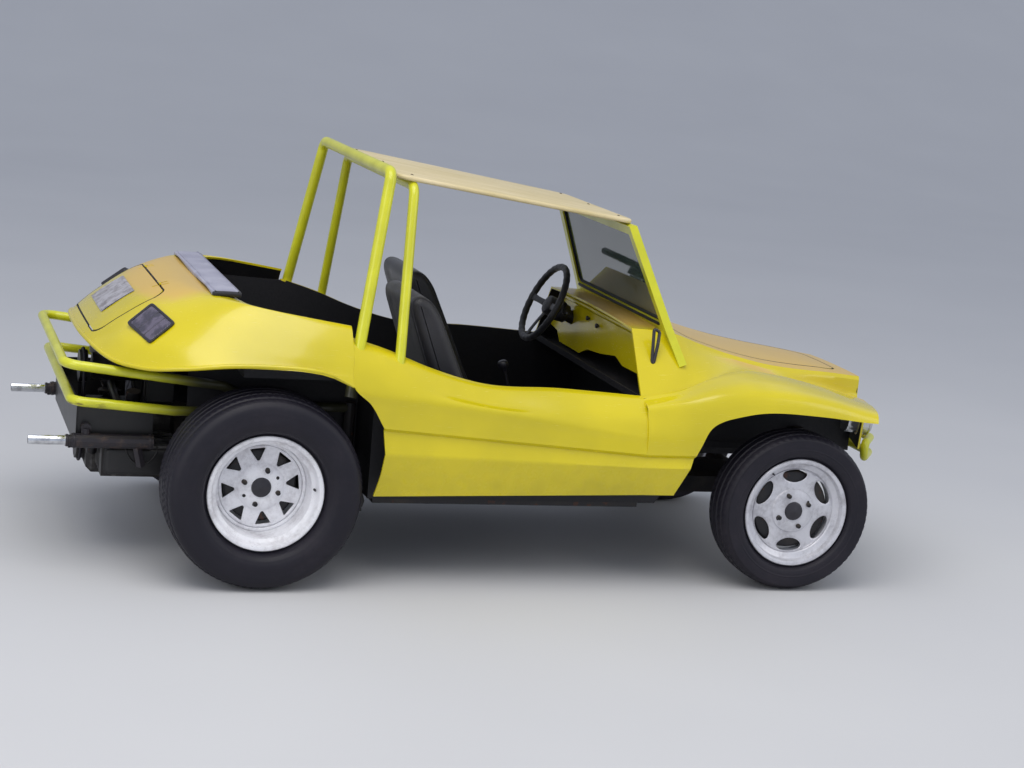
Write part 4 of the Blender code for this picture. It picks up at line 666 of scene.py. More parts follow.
def nose_surface():
    """Hood, fenders and front face: sections from cowl to nose, swept back beyond the nose's half width."""
    rows = ((-0.645, 0.962, 0.505, 0.950, 0.675, 0.724, 0.710, 0.712, 0.665),
            (-0.490, 0.955, 0.500, 0.940, 0.645, 0.745, 0.695, 0.742, 0.685),
            (-0.345, 0.912, 0.455, 0.893, 0.600, 0.790, 0.670, 0.788, 0.722),
            (-0.200, 0.868, 0.415, 0.850, 0.520, 0.808, 0.630, 0.808, 0.740),
            (-0.030, 0.828, 0.375, 0.810, 0.440, 0.780, 0.590, 0.792, 0.738),
            (0.140, 0.800, 0.325, 0.785, 0.365, 0.735, 0.560, 0.764, 0.722),
            (0.290, 0.780, 0.280, 0.769, 0.310, 0.700, 0.530, 0.730, 0.705),
            (0.453, 0.752, 0.238, 0.748, 0.260, 0.660, 0.500, 0.690, 0.690))
    x, hood, edge_y, edge_z, dip_y, dip_z, crown_y, crown_z, shoulder = spline(rows, 9).T
    zero = np.zeros_like(x)
    half = np.stack([np.stack(pair, -1) for pair in (
        (x, zero, hood), (x, edge_y * 0.31, hood - (hood - edge_z) * 0.10),
        (x, edge_y * 0.62, hood * 0.65 + edge_z * 0.35), (x, edge_y, edge_z),
        (x, edge_y + 0.012, edge_z - 0.014), (x, dip_y, dip_z),
        (x, (dip_y + crown_y) / 2, (dip_z + crown_z) / 2 + 0.006), (x, crown_y, crown_z),
        (x, (crown_y + CAR_HALF) / 2, (crown_z + shoulder) / 2 + 0.012),
        (x, zero + CAR_HALF - 0.030, shoulder), (x, zero + CAR_HALF - 0.010, zero + 0.600),
        (x, zero + CAR_HALF - 0.010, zero + 0.527), (x, zero + CAR_HALF - 0.022, zero + 0.515),
        (x, zero + CAR_HALF - 0.008, zero + 0.478), (x, zero + CAR_HALF - 0.044, zero + 0.367))])
    half = spline(half, 5, (3, 4, 11, 12, 13))
    share = np.clip((half[..., 0] + 0.030) / 0.483, 0.0, None) ** 1.5
    half[..., 0] -= np.clip(half[..., 1] - 0.24, 0.0, None) * 0.31 * share
    last = half[:, -1]
    foot = np.minimum(0.5 + (last[:, 2] - 0.6) * 0.05, last[:, 2] - 0.020)
    down = np.linspace(0, 1, 13)[1:]
    face = np.stack([last[:, :1] - 0.012 * down, np.repeat(last[:, 1:2], 12, 1),
                     last[:, 2:] + (foot[:, None] - last[:, 2:]) * down], -1)
    half = np.concatenate([half, face], 1)
    whole = np.concatenate([half[:0:-1] * (1, -1, 1), half], 0)
    return whole.transpose(1, 0, 2) + (FRONT, 0, 0)


def shell(grid, name):
    """A skin laid up inwards from its outer face, painted outside and black within."""
    made = piece_of(name, mesh_of(grid), body_paint, 30.0, outward=False)
    middle = grid.reshape(-1, 3).mean(0) * (1, 0, 1)
    centre = np.array([polygon.center for polygon in made.data.polygons])
    normal = np.array([polygon.normal for polygon in made.data.polygons])
    if ((centre - middle) * normal).sum() < 0:
        made.data.flip_normals()
    made.data.materials.append(body_inside)
    thicken(made, LAID_UP).material_offset = 1
    return made


def within_wall(made):
    """Bake a laid-up skin and keep its inner face within one and a half walls of the outer one."""
    spot = np.empty(len(baked(made).data.vertices) * 3, np.float32)
    made.data.vertices.foreach_get("co", spot)
    outer, inner = spot.reshape(2, -1, 3)
    step = inner - outer
    inner[:] = outer + step * np.minimum(1.0, 1.5 * LAID_UP / np.linalg.norm(step, axis=1))[:, None]
    tip = outer[:, 0] > FRONT + 0.40
    inner[tip, 0] = np.minimum(inner[tip, 0], outer[tip, 0] - 0.002)
    inner[tip, 1] = np.clip(inner[tip, 1], -np.abs(outer[tip, 1]), np.abs(outer[tip, 1]))
    made.data.vertices.foreach_set("co", spot)


def carve(made, cutter, operation="DIFFERENCE"):
    """Cut a solid from an object, or keep what they share, and drop the solid."""
    change = made.modifiers.new("carve", "BOOLEAN")
    change.operation = operation
    change.solver = "EXACT"
    change.object = cutter
    baked(made)
    bpy.data.objects.remove(cutter, do_unlink=True)


def capped(grid):
    """A closed form: quads round the columns of a grid, its first and last row filled."""
    return mesh_of(grid, around=True, caps=(True, True))


def prism(outline, low, high, place):
    """A solid cutter: an outline in its own plane drawn out from low to high and set in place."""
    outline = np.asarray(outline, float)
    mesh = capped(np.stack([np.c_[outline, np.full(len(outline), level)] for level in (low, high)]))
    mesh.transform(place)
    work = bmesh.new()
    work.from_mesh(mesh)
    bmesh.ops.recalc_face_normals(work, faces=work.faces[:])
    work.to_mesh(mesh)
    work.free()
    made = bpy.data.objects.new("cutter", mesh)
    bpy.context.scene.collection.objects.link(made)
    return made


def both_sides(made):
    """Keep what lies on the right of the car's middle plane and join its mirror image to it."""
    work = bmesh.new()
    work.from_mesh(made.data)
    everything = work.verts[:] + work.edges[:] + work.faces[:]
    bmesh.ops.bisect_plane(work, geom=everything, plane_co=(0, 0, 0), plane_no=(0, 1, 0), clear_outer=True)
    twin = bmesh.ops.duplicate(work, geom=work.verts[:] + work.edges[:] + work.faces[:])["geom"]
    verts = [item for item in twin if isinstance(item, bmesh.types.BMVert)]
    bmesh.ops.scale(work, vec=(1, -1, 1), verts=verts)
    bmesh.ops.reverse_faces(work, faces=[item for item in twin if isinstance(item, bmesh.types.BMFace)])
    middle = [vert for vert in work.verts if abs(vert.co.y) < 1e-5]
    bmesh.ops.remove_doubles(work, verts=middle, dist=1e-5)
    work.to_mesh(made.data)
    work.free()
    smoothed(made.data, 30.0)


def lid_outline(rear_half, front_half, rear_end, front_end, grow, cut=0.045):
    """A lid's outline in its own plane, each corner a smooth bend as long as the solid's cut corner."""
    rear, front = rear_end - grow, front_end + grow
    wide, narrow = -rear_half - grow, -front_half - grow
    share = np.linspace(0, 1, 7)[:, None]
    bends = []
    for ends in (((rear, wide + cut), (rear + cut, wide), (rear, wide)),
                 ((front - cut, narrow), (front, narrow + cut), (front, narrow))):
        one, two, corner = np.array(ends)
        bends.append(bend_of(one, (one + two) / 2 * 0.45 + corner * 0.55, two, share))
    right = np.concatenate(bends)
    return np.concatenate([right, right[::-1] * (1, -1)])


def set_at(spot, *turns):
    """A place: a spot, then turns as pairs of degrees and axis."""
    place = Matrix.Translation(spot)
    for degrees, axis in turns:
        place = place @ Matrix.Rotation(math.radians(degrees), 4, axis)
    return place


tail = shell(tail_surface(), "skin_tail")
nose = shell(nose_surface(), "skin_nose")
flank = shell(side_surface(), "skin_side_right")

rear_place = set_at((REAR - 0.455, 0.0, 0.93), (-42, "Y"))
rear_sizes = (0.330, 0.355, -0.158, 0.125)
hood_place = set_at((FRONT, 0.0, 0.82), (11, "Y"))
hood_sizes = (0.395, 0.195, -0.420, 0.375)
within_wall(tail)
within_wall(nose)
lid = bpy.data.objects.new("skin_rear_lid", tail.data.copy())
hood = bpy.data.objects.new("skin_hood", nose.data.copy())
for made, place, sizes in ((lid, rear_place, rear_sizes), (hood, hood_place, hood_sizes)):
    bpy.context.scene.collection.objects.link(made)
    carve(made, prism(lid_outline(*sizes, 0.0), -0.2, 0.2, place), "INTERSECT")

LAMP_SPOT = (0.405, 0.395, 0.604)
LAMP_HOLE = 0.0625
LID_GAP = 0.007
arch = spline([(-0.509, 0.370), (-0.437, 0.550), (-0.383, 0.641), (-0.259, 0.682), (-0.131, 0.696),
               (0.067, 0.686), (0.267, 0.668), (0.60, 0.655)], 8)
arch = np.vstack([(arch[0, 0], 0.20), arch, (arch[-1, 0], 0.20)])
turn = full_turn(48)
lamp_ring = LAMP_HOLE * np.stack([np.cos(turn), np.sin(turn)], 1)
carve(nose, prism(arch, 0.5, 0.95, set_at((FRONT, 0.0, 0.0), (90, "X"))))
carve(nose, prism(lamp_ring, -0.12, 0.12,
                  set_at((FRONT + LAMP_SPOT[0], -LAMP_SPOT[1], LAMP_SPOT[2]), (90, "Y"))))
carve(nose, prism(lid_outline(*hood_sizes, LID_GAP), -0.2, 0.2, hood_place))
carve(tail, prism(lid_outline(*rear_sizes, LID_GAP), -0.2, 0.2, rear_place))
within_wall(flank)
for made in (tail, nose, lid, hood):
    both_sides(made)

for made, body, node in ((tail, "base", "tail_body"), (nose, "base", "front_body"),
                         (flank, "base", "side_right"), (lid, "rear_lid", "rear_lid"),
                         (hood, "front_hood", "front_hood")):
    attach(made, body)
    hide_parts(node)
other = bpy.data.objects.new("skin_side_left", flank.data.copy())
other.data.transform(Matrix.Diagonal((1, -1, 1, 1)))
other.data.flip_normals()
bpy.context.scene.collection.objects.link(other)
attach(other, "base")
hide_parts("side_left")

# Hoops, bumpers and their tubes
# Bent steel tubes sprayed a greener yellow than the body, their weld seams ground. Paint has worn through
# on the lower rear tube, and painted shade darkens and dulls the arms within the wheel arches.


def tube_finish(wire):
    """Tube paint: patches of two yellows, brown wear in streaks behind, painted shade within the arches."""
    patch = wire.noise(6.0, 4.0).ramp(0.3, 0.7)
    rear = wire.axis("X").ramp(-1.36, -1.50)
    low = wire.axis("Z").ramp(0.70, 0.60)
    side = wire.axis("Y").ramp(-0.30, -0.42)
    worn = wire.noise(12.0, 5.0, 0.7, (1.0, 0.7, 3.0)).ramp(0.50, 0.60) * rear * low * side
    # Painted shade: the tubes go near black within the wheel arches, where shade falls.
    painted_arch_shade = (wire.axis("X").ramp(-1.32, -1.06) * wire.axis("Z").ramp(0.80, 0.72)
              * wire.axis("X").ramp(1.50, 1.40))
    chips = wire.cells(190.0).ramp(0.08, 0.13, 1.0, 0.0) * wire.noise(9.0, 2.0).ramp(0.56, 0.62)
    paint = patch.between((214, 214, 38), (196, 196, 34))
    paint = (worn * 0.75).between(paint, (88, 62, 36))
    paint = (painted_arch_shade * 0.97).between(paint, (20, 18, 15))
    return {"Base Color": (chips * 0.7).between(paint, (96, 84, 50)),
            "Roughness": worn * 0.3 + painted_arch_shade * 0.35 + patch * 0.08 + 0.28 + chips * 0.2,
            "Normal": wire.bump(wire.noise(90.0, 3.0) - chips * 0.6 - worn * 0.3, 0.0009, 0.35)}


def bent(points, radius, steps=10, cyclic=False):
    """A path whose corners are arcs of one radius, from one leg's tangent point to the next's."""
    points = np.asarray(points, float)
    path = []
    count = len(points)
    for index, corner in enumerate(points):
        if not cyclic and index in (0, count - 1):
            path.append(corner[None])
            continue
        back = points[index - 1] - corner
        ahead = points[(index + 1) % count] - corner
        back = back / np.linalg.norm(back)
        ahead = ahead / np.linalg.norm(ahead)
        half = math.acos(np.clip(back @ ahead, -1, 1)) / 2
        reach = radius / math.tan(half)
        centre = corner + (back + ahead) / np.linalg.norm(back + ahead) * radius / math.sin(half)
        first = corner + back * reach - centre
        last = corner + ahead * reach - centre
        turn = math.pi - 2 * half
        share = np.linspace(0, 1, steps + 1)[:, None]
        arc = first * np.sin((1 - share) * turn) + last * np.sin(share * turn)
        path.append(centre + arc / math.sin(turn))
    return np.concatenate(path)


def tube_surface(path, radius, sides=28, cyclic=False):
    """Circles of a radius about each point of a path, square to it, with as little twist as can be."""
    path = np.asarray(path, float)
    ahead = (np.roll(path, -1, 0) - np.roll(path, 1, 0)) if cyclic else np.gradient(path, axis=0)
    ahead = ahead / np.linalg.norm(ahead, axis=1)[:, None]
    first = np.cross(ahead[0], (0.3, 0.2, 0.93))
    across = [first / np.linalg.norm(first)]
    for step in ahead[1:]:
        side = across[-1] - step * (across[-1] @ step)
        across.append(side / np.linalg.norm(side))
    across = np.array(across)
    up = np.cross(ahead, across)
    turn = full_turn(sides)[None, :, None]
    size = np.broadcast_to(np.asarray(radius, float).reshape(-1, 1, 1), (len(path), 1, 1))
    return path[:, None] + size * (np.cos(turn) * across[:, None] + np.sin(turn) * up[:, None])


def tube_mesh(path, radius, sides=28, cyclic=False):
    """A tube as a mesh, its ends closed unless it meets itself."""
    return mesh_of(tube_surface(path, radius, sides, cyclic), around=True, along=cyclic,
                   caps=(not cyclic, not cyclic))


def mirror_path(left):
    """A path from the right end over the middle to the left one, given its left half from the rear axle."""
    left = np.array(left, float) + (REAR, 0, 0)
    return np.concatenate([left * (1, -1, 1), left[::-1]])


def bead(at, direction, radius, height=0.0022):
    """A weld's bead round a tube: a ring of small overlapping ripples."""
    direction = np.asarray(direction, float) / np.linalg.norm(direction)
    first = np.cross(direction, (0.31, 0.52, 0.2))
    first = first / np.linalg.norm(first)
    second = np.cross(direction, first)
    turn = full_turn(72)
    ring = np.asarray(at) + radius * (np.cos(turn)[:, None] * first + np.sin(turn)[:, None] * second)
    return tube_mesh(ring, height * (1 + 0.22 * np.cos(turn * 24)), 8, True)


tube_paint = finish_of("tube_paint", tube_finish, Coat_Weight=0.4, Coat_Roughness=0.12)
BEND_TOP = (0.410, 0.590, 1.490)
rise = np.array(BEND_TOP) - (0.319, 0.703, 0.914)
foot = np.array(BEND_TOP) - rise * ((BEND_TOP[2] - 0.70) / rise[2])
main_path = mirror_path([foot, BEND_TOP])
# The roof's underside falls from one point, given as (x from the rear axle, z), to the other
ROOF_REAR, ROOF_FRONT = (0.438, 1.4654), (1.402, 1.333)
roof_long, roof_fall = ROOF_FRONT[0] - ROOF_REAR[0], ROOF_REAR[1] - ROOF_FRONT[1]
under = ROOF_REAR[1] - roof_fall / roof_long * (0.505 - ROOF_REAR[0])
post = np.array((0.505, 0.560, under - 0.0185 + 0.003))
rise = post - (0.466, 0.703, 0.850)
post_path = mirror_path([post - rise * ((post[2] - 0.70) / rise[2]), post])
hoop = piece_of("tube_main_hoop", tube_mesh(bent(main_path, 0.045, 12) - (0, 0, 0.0007), 0.021, 32),
                tube_paint)
post_hoop = piece_of("tube_front_hoop", tube_mesh(bent(post_path, 0.05, 12), 0.0185, 32), tube_paint)
upper = mirror_path([(0.358, 0.440, 0.600), (0.05, 0.460, 0.600), (-0.13, 0.505, 0.680),
                     (-0.692, 0.527, 0.745)])
lower = mirror_path([(-0.02, 0.471, 0.612), (-0.16, 0.490, 0.580), (-0.30, 0.515, 0.585),
                     (-0.662, 0.535, 0.615)])
parts = [tube_mesh(bent(upper, 0.06, 10), 0.0175), tube_mesh(bent(lower, 0.05, 10), 0.0175)]
bumper = piece_of("tube_rear_bumper", joined(*parts), tube_paint)

corner = 1.67 - FRONT - 0.0165
end = corner - 0.075
low_bar, high_bar = 0.462, 0.522
loop = np.array([(corner, -0.36, high_bar), (corner, 0.36, high_bar), (end, 0.47, high_bar),
                 (end, 0.47, low_bar), (corner, 0.36, low_bar), (corner, -0.36, low_bar),
                 (end, -0.47, low_bar), (end, -0.47, high_bar)])
parts = [tube_mesh(bent(loop, 0.028, 8, True) + (FRONT, 0, 0), 0.0165, 24, True)]
for hand in (-1, 1):
    aside = hand * 0.18
    stay = np.array([(0.1903, aside, 0.366), (0.23, aside, 0.366), (0.34, aside, 0.392),
                     (corner, aside, low_bar)]) + (FRONT, 0, 0)
    parts.append(tube_mesh(bent(stay, 0.04, 6), 0.014, 20))
    post = np.array([(corner, aside, low_bar), (corner, aside, high_bar)]) + (FRONT, 0, 0)
    parts.append(tube_mesh(post, 0.012, 20))
    parts += [bead((FRONT + corner, aside, height), (0, 0, 1), 0.0122) for height in (0.4795, 0.5045)]
front_loop = piece_of("tube_front_bumper", joined(*parts), tube_paint)
for made, node in ((hoop, "main_hoop"), (post_hoop, "front_hoop"), (bumper, "rear_bumper"),
                   (front_loop, "front_bumper")):
    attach(made, "base")
    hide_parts(node)

# Tub, liners and pedals
# The inner tub is black-painted fibreglass with short-pile mats on its floor. The flat liners behind the
# rear wheels, the pedals and the fuel tank are black steel sheet.


def tub_finish(wire):
    """Black paint over coarse mat, dusty on what faces up."""
    mat = wire.noise(55.0, 5.0, 0.7) * 0.6 + wire.cells(95.0) * 0.4
    dust = wire.noise(7.0, 5.0).ramp(0.48, 0.80) * wire.axis("Z", "Normal").ramp(0.2, 0.9)
    return {"Base Color": (dust * 0.45).between((15, 14, 20), (64, 58, 56)),
            "Roughness": mat * 0.25 + 0.50 + dust * 0.15,
            "Normal": wire.bump(mat, 0.0014, 0.45)}


def carpet_finish(wire):
    """Black needle felt: fine fibres standing every way, trodden paler in patches."""
    fibre = wire.noise(900.0, 2.0, 0.8)
    trodden = wire.noise(6.0, 4.0).ramp(0.45, 0.8)
    return {"Base Color": (trodden * 0.5 + fibre * 0.2).between((17, 16, 19), (52, 49, 50)),
            "Roughness": fibre * 0.1 + 0.85,
            "Normal": wire.bump(fibre + wire.noise(120.0, 2.0), 0.0015, 0.7)}


tub_black = finish_of("tub_black_paint", tub_finish)
carpet = finish_of("carpet_black", carpet_finish, Sheen_Weight=0.25, Sheen_Roughness=0.5)
dress(tub_black, "cockpit_tub", "arch_liner_right", "arch_liner_left", "pedals", "fuel_tank")


def mat_surface(low, high, base, thick, lip):
    """A floor mat over a rectangle: it rises steeply from its rounded edge and is lightly waved."""
    u, v = np.meshgrid(np.linspace(-1, 1, 61), np.linspace(-1, 1, 41), indexing="ij")
    edge = np.clip((1 - np.maximum(np.abs(u), np.abs(v))) / lip, 0, 1)
    wave = 0.0012 * np.sin(u * 7 + v * 2) * np.cos(v * 5)
    x = low[0] + (high[0] - low[0]) * (u + 1) / 2
    y = low[1] + (high[1] - low[1]) * (v + 1) / 2
    return np.stack([x, y, base + thick * (1 - (1 - edge) ** 4) + wave * edge], -1)


for name, low, high in (("mat_right", (0.33, -0.62), (0.615, -0.10)),
                        ("mat_left", (0.48, 0.10), (0.54, 0.62))):
    grid = mat_surface(low, high, 0.3235, 0.006, 0.08)
    under = grid[::-1] * (1, 1, 0) + (0, 0, 0.3233)
    made = piece_of(name, joined(mesh_of(grid), mesh_of(under)), carpet, 50.0, 5e-4)
    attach(made, "base")


def pad_rubber(wire):
    """Pedal rubber: ribs across it, polished in patches by shoes."""
    ribs = wire.maths("SINE", wire.axis("Z") * 900.0)
    worn = wire.noise(30.0, 3.0).ramp(0.4, 0.7)
    return {"Base Color": worn.between((20, 20, 22), (44, 42, 42)),
            "Roughness": 0.8 - worn * 0.35, "Normal": wire.bump(ribs, 0.0012, 0.8)}


pedal_rubber = finish_of("pedal_rubber", pad_rubber)
for number, (y, height) in enumerate(((0.20, 0.12), (0.31, 0.17), (0.43, 0.17))):
    across = np.linspace(-1, 1, 25)
    u, v = np.meshgrid(across, across, indexing="ij")
    proud = 0.0055 * (1 - np.maximum(np.abs(u), np.abs(v)) ** 10)
    grid = np.stack([REAR + 1.4652 - proud, y + 0.030 * u, 0.3233 + height + 0.032 * v], -1)
    back = grid[::-1] * (0, 1, 1) + (REAR + 1.4648, 0, 0)
    made = piece_of("pedal_pad_%d" % number, joined(mesh_of(grid), mesh_of(back)), pedal_rubber, 60.0, 6e-4)
    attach(made, "base")

# Gear lever
# A bent steel lever on the tunnel: a turned black knob on top, a soft rubber gaiter at its foot.

foot = np.array((REAR + 1.16, 0.0, 0.4303))
stick = foot + [(0, 0, 0.012), (-0.02, 0, 0.07), (-0.055, 0, 0.16), (-0.09, 0, 0.262)]
gaiter = [(0.0, 0.0), (0.0352, 0.0), (0.0355, 0.003), (0.031, 0.006), (0.0335, 0.009), (0.028, 0.013),
          (0.029, 0.0165), (0.022, 0.021), (0.022, 0.025), (0.015, 0.031), (0.012, 0.038), (0.0, 0.040)]
knob = [(0.0, -0.001), (0.009, 0.0), (0.011, 0.006), (0.0175, 0.016), (0.0215, 0.028), (0.0195, 0.040),
        (0.011, 0.046), (0.0, 0.0475)]
boot = lathe(spline(gaiter, 3), 40)
boot.transform(set_at(foot + (0, 0, 0.001), (90, "X")))
top = lathe(spline(knob, 5), 36)
top.transform(set_at(foot + (-0.0845, 0, 0.243), (-18, "Y"), (90, "X")))
made = piece_of("gear_stick", joined(tube_mesh(spline(stick, 6), 0.0065, 20), boot, top), cap_black)
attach(made, "base")
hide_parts("gear_lever")

# Seats
# High-backed bucket seats in black grained vinyl over foam: a scooped middle with sewn pleats, thick
# rolled side bolsters with a welt along their edge. They stand on the tub's floor.


def vinyl_finish(wire):
    """Grained vinyl: a net of fine cells over soft folds, shinier where it is rubbed."""
    grain = wire.cells(330.0, feature="DISTANCE_TO_EDGE").ramp(0.0, 0.12)
    folds = wire.noise(9.0, 3.0)
    rubbed = wire.noise(4.0, 3.0).ramp(0.45, 0.75)
    return {"Base Color": rubbed.between((21, 20, 26), (38, 36, 42)),
            "Roughness": 0.55 - rubbed * 0.17 - grain * 0.05,
            "Normal": wire.bump(grain * 0.4 + folds * 5.0, 0.0009, 0.55)}


vinyl = finish_of("vinyl_black", vinyl_finish, Sheen_Weight=0.15, Coat_Weight=0.1, Coat_Roughness=0.35)


def evenly(points, count, closed=True):
    """A line through points at even steps; a closed one stops before its first point comes again."""
    points = np.asarray(points, float)
    points = np.vstack([points, points[:1]]) if closed else points
    length = np.concatenate([[0], np.cumsum(np.linalg.norm(np.diff(points, axis=0), axis=1))])
    at = np.linspace(0, length[-1], count, endpoint=not closed)
    return np.stack([np.interp(at, length, points[:, axis]) for axis in range(points.shape[1])], 1)


def eased(line, times):
    """A closed line whose points are drawn towards their neighbours, some times over."""
    for _ in range(times):
        line = (np.roll(line, 1, 0) + 2 * line + np.roll(line, -1, 0)) / 4
    return line


def loop_of(points, count):
    """A closed line through corner points, evenly spaced and eased round its corners."""
    return eased(evenly(points, count), 5)


def outward_of(line):
    """The normals of a closed flat line, of length one and pointing away from its middle."""
    ahead = np.roll(line, -1, 0) - np.roll(line, 1, 0)
    normal = np.stack([ahead[:, 1], -ahead[:, 0]], 1)
    normal = normal / np.linalg.norm(normal, axis=1)[:, None]
    return -normal if ((line - line.mean(0)) * normal).sum() < 0 else normal


def padded_surface(outline, half, round_by, scoop, front_of, pleats, count=150, across=73):
    """A pad whose side view is a closed outline, swept across the car.

    Near each side the outline shrinks along its normals as a quarter circle does, which rolls the edge. On
    the face that front_of marks, the middle sinks by the scoop's depth times a smooth step of the distance
    from the middle, and by the pleats' narrow bells.
    """
    line = loop_of(outline, count)
    normal = outward_of(line)
    y = np.sin(np.linspace(-1, 1, across) * np.pi / 2) * half
    over = np.clip((np.abs(y) - (half - round_by)) / round_by, 0, 1)
    inset = round_by * (1 - np.sqrt(1 - over ** 2))
    mask = front_of(line)
    side = np.clip((np.abs(y) / half - 0.50) / 0.26, 0, 1)
    middle = 1 - side ** 2 * (3 - 2 * side)
    sink = scoop * middle
    for place in pleats:
        sink = sink + 0.0045 * np.exp(-((y - place) / 0.0055) ** 2) * (middle > 0.2)
    sink = sink[None] * mask[:, None] + inset[None]
    moved = line[:, None] - normal[:, None] * sink[..., None]
    return np.stack([moved[..., 0], np.repeat(y[None], count, 0), moved[..., 1]], -1).transpose(1, 0, 2)


floor_z = 0.3236
seat_y, seat_half, seat_roll = 0.335, 0.224, 0.034
pleats = (-0.09, -0.045, 0.0, 0.045, 0.09)
cushion = [(0.800, floor_z), (1.105, floor_z), (1.150, 0.385), (1.188, 0.460), (1.172, 0.508), (1.030, 0.482),
           (0.930, 0.458), (0.872, 0.452), (0.800, 0.452), (0.762, 0.430)]
back = [(0.776, 0.400), (0.868, 0.440), (0.884, 0.480), (0.800, 0.640), (0.720, 0.815), (0.642, 0.982),
        (0.606, 1.028), (0.562, 1.044), (0.530, 1.026), (0.532, 0.985), (0.600, 0.800), (0.675, 0.605),
        (0.742, 0.436)]


def cushion_front(line):
    """How far each point of the side view belongs to the cushion's upper face."""
    return np.clip((line[:, 1] - 0.44) / 0.02, 0, 1)


def back_front(line):
    """How far each point of the side view belongs to the backrest's front face."""
    ahead = np.clip((line[:, 0] - (1.200 - 0.62 * line[:, 1]) + 0.070) / 0.03, 0, 1)
    return ahead * np.clip((1.00 - line[:, 1]) / 0.08, 0, 1) * np.clip((line[:, 1] - 0.43) / 0.05, 0, 1)


for (side, hand), slide in zip(SIDES, (0.0, 0.150)):
    parts = []
    welts = []
    for outline, scoop, front_of in ((cushion, 0.030, cushion_front), (back, 0.034, back_front)):
        grid = padded_surface(outline, seat_half, seat_roll, scoop, front_of, pleats)
        grid = grid + (REAR + slide, hand * seat_y, 0)
        parts.append(capped(grid))
        welts += [tube_mesh(grid[column], 0.0032, 8, True) for column in (9, -10)]
    made = piece_of("seat_pad_" + side, joined(*parts, *welts), vinyl, 45.0)
    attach(made, "base")
    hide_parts("seat_" + side)

# Dash, column and steering wheel
# The dash is a flat yellow panel with a rolled top lip and two dark knobs. The wheel has a thick black
# rim, three waisted spokes and a round boss; a ribbed black shroud covers the top of the column.

dress(body_paint, "dashboard")
edge = np.stack([np.full(41, REAR + 1.447), np.linspace(-0.47, 0.47, 41), np.full(41, 0.925)], 1)
lip = piece_of("dash_lip", tube_mesh(edge, 0.0123, 24), body_paint)
knob = spline([(0.0, 0.016), (0.008, 0.0155), (0.0095, 0.012), (0.0085, 0.006), (0.004, 0.004),
               (0.004, -0.004), (0.0, -0.004)], 3)
parts = []
for y, z in ((-0.02, 0.875), (0.10, 0.885)):
    made = lathe(knob, 24)
    made.transform(set_at((REAR + 1.447, y, z), (90, "Z")))
    parts.append(made)
knobs = piece_of("dash_knobs", joined(*parts), cap_black)
for made in (lip, knobs):
    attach(made, "base")

hub = np.array((REAR + 1.322, 0.330, 0.907))
tilt = math.radians(25)
down = np.array((math.cos(tilt), 0.0, -math.sin(tilt)))
wheel_up = np.array((math.sin(tilt), 0.0, math.cos(tilt)))
aside = np.array((0.0, 1.0, 0.0))
turn = full_turn(120)
wheel_reach = 0.1640
ring = hub + wheel_reach * (np.cos(turn)[:, None] * aside + np.sin(turn)[:, None] * wheel_up)
parts = [tube_mesh(ring, 0.0138 + 0.0007 * np.cos(turn * 30), 24, True)]
for degrees in (90, 270, 180):
    angle = math.radians(degrees)
    out = math.sin(angle) * aside + math.cos(angle) * wheel_up
    across = math.cos(angle) * aside - math.sin(angle) * wheel_up
    u = np.linspace(0, 1, 15)
    v = full_turn(24)
    mid = hub + out * (0.024 + 0.134 * u)[:, None] + down * (0.026 * (1 - u) ** 1.5 + 0.001)[:, None]
    wide = 0.0165 - 0.004 * np.sin(np.pi * u)
    flat = (np.cos(v)[None, :, None] * wide[:, None, None] * across
            + np.sin(v)[None, :, None] * 0.0048 * down)
    parts.append(capped(mid[:, None] + flat))
boss = lathe([(0.0, -0.005), (0.016, -0.0045), (0.020, -0.007), (0.034, -0.010), (0.0385, -0.014),
              (0.0405, -0.022), (0.0415, -0.044), (0.0, -0.0445)], 48)
upright = Matrix((aside, -down, wheel_up)).transposed().to_4x4()
boss.transform(upright)
boss.transform(Matrix.Translation(hub))
parts.append(boss)
wheel = piece_of("steering_rim", joined(*parts), vinyl)
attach(wheel, "steering_wheel")
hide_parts("steering_wheel")

profile = np.array([(0.0, 0.0452), (0.0258, 0.0453), (0.0262, 0.060), (0.040, 0.0635), (0.0445, 0.068),
                    (0.0452, 0.074), (0.0425, 0.077), (0.0442, 0.080), (0.0415, 0.083), (0.0432, 0.086),
                    (0.0400, 0.089), (0.0385, 0.108), (0.0300, 0.1115), (0.0265, 0.114), (0.0262, 0.3295),
                    (0.0, 0.330)])
column = lathe(profile * (1, -1), 48)
column.transform(upright)
column.transform(Matrix.Translation(hub))
lever = spline([hub + down * 0.080 - aside * 0.035, hub + down * 0.076 - aside * 0.085,
                hub + down * 0.060 - aside * 0.135 + wheel_up * 0.006], 6)
levers = tube_mesh(lever, 0.0045, 14)
made = piece_of("column_shroud", joined(column, levers), cap_black)
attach(made, "base")
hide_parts("steering_column")

# Roof
# A thin panel moulded in fibreglass, faded cream, with a painted reflection in long streaks. It lies on the
# front hoop and on the screen's frame, fixed by dome-headed bolts; its edges are rounded.


def roof_finish(wire):
    """Faded cream with a painted reflection in lighter streaks along the car in three scales, a woven mat
    showing through as a faint net.
    """
    # Painted reflection: lighter streaks run along the car.
    painted_reflection_streaks = wire.noise(3.0, 6.0, 0.6, (0.5, 6.0, 1.0)).ramp(0.3, 0.72)
    cloud = wire.noise(4.0, 4.0).ramp(0.3, 0.7)
    weave = wire.maths("SINE", wire.axis("X") * 700.0) * wire.maths("SINE", wire.axis("Y") * 700.0)
    paint = painted_reflection_streaks.between((205, 188, 138), (226, 210, 172))
    paint = (cloud * 0.35).between(paint, (190, 172, 118))
    return {"Base Color": paint, "Roughness": painted_reflection_streaks * 0.15 + 0.42 + cloud * 0.1,
            "Normal": wire.bump(weave * 0.15 + wire.noise(60.0, 3.0), 0.0007, 0.4)}


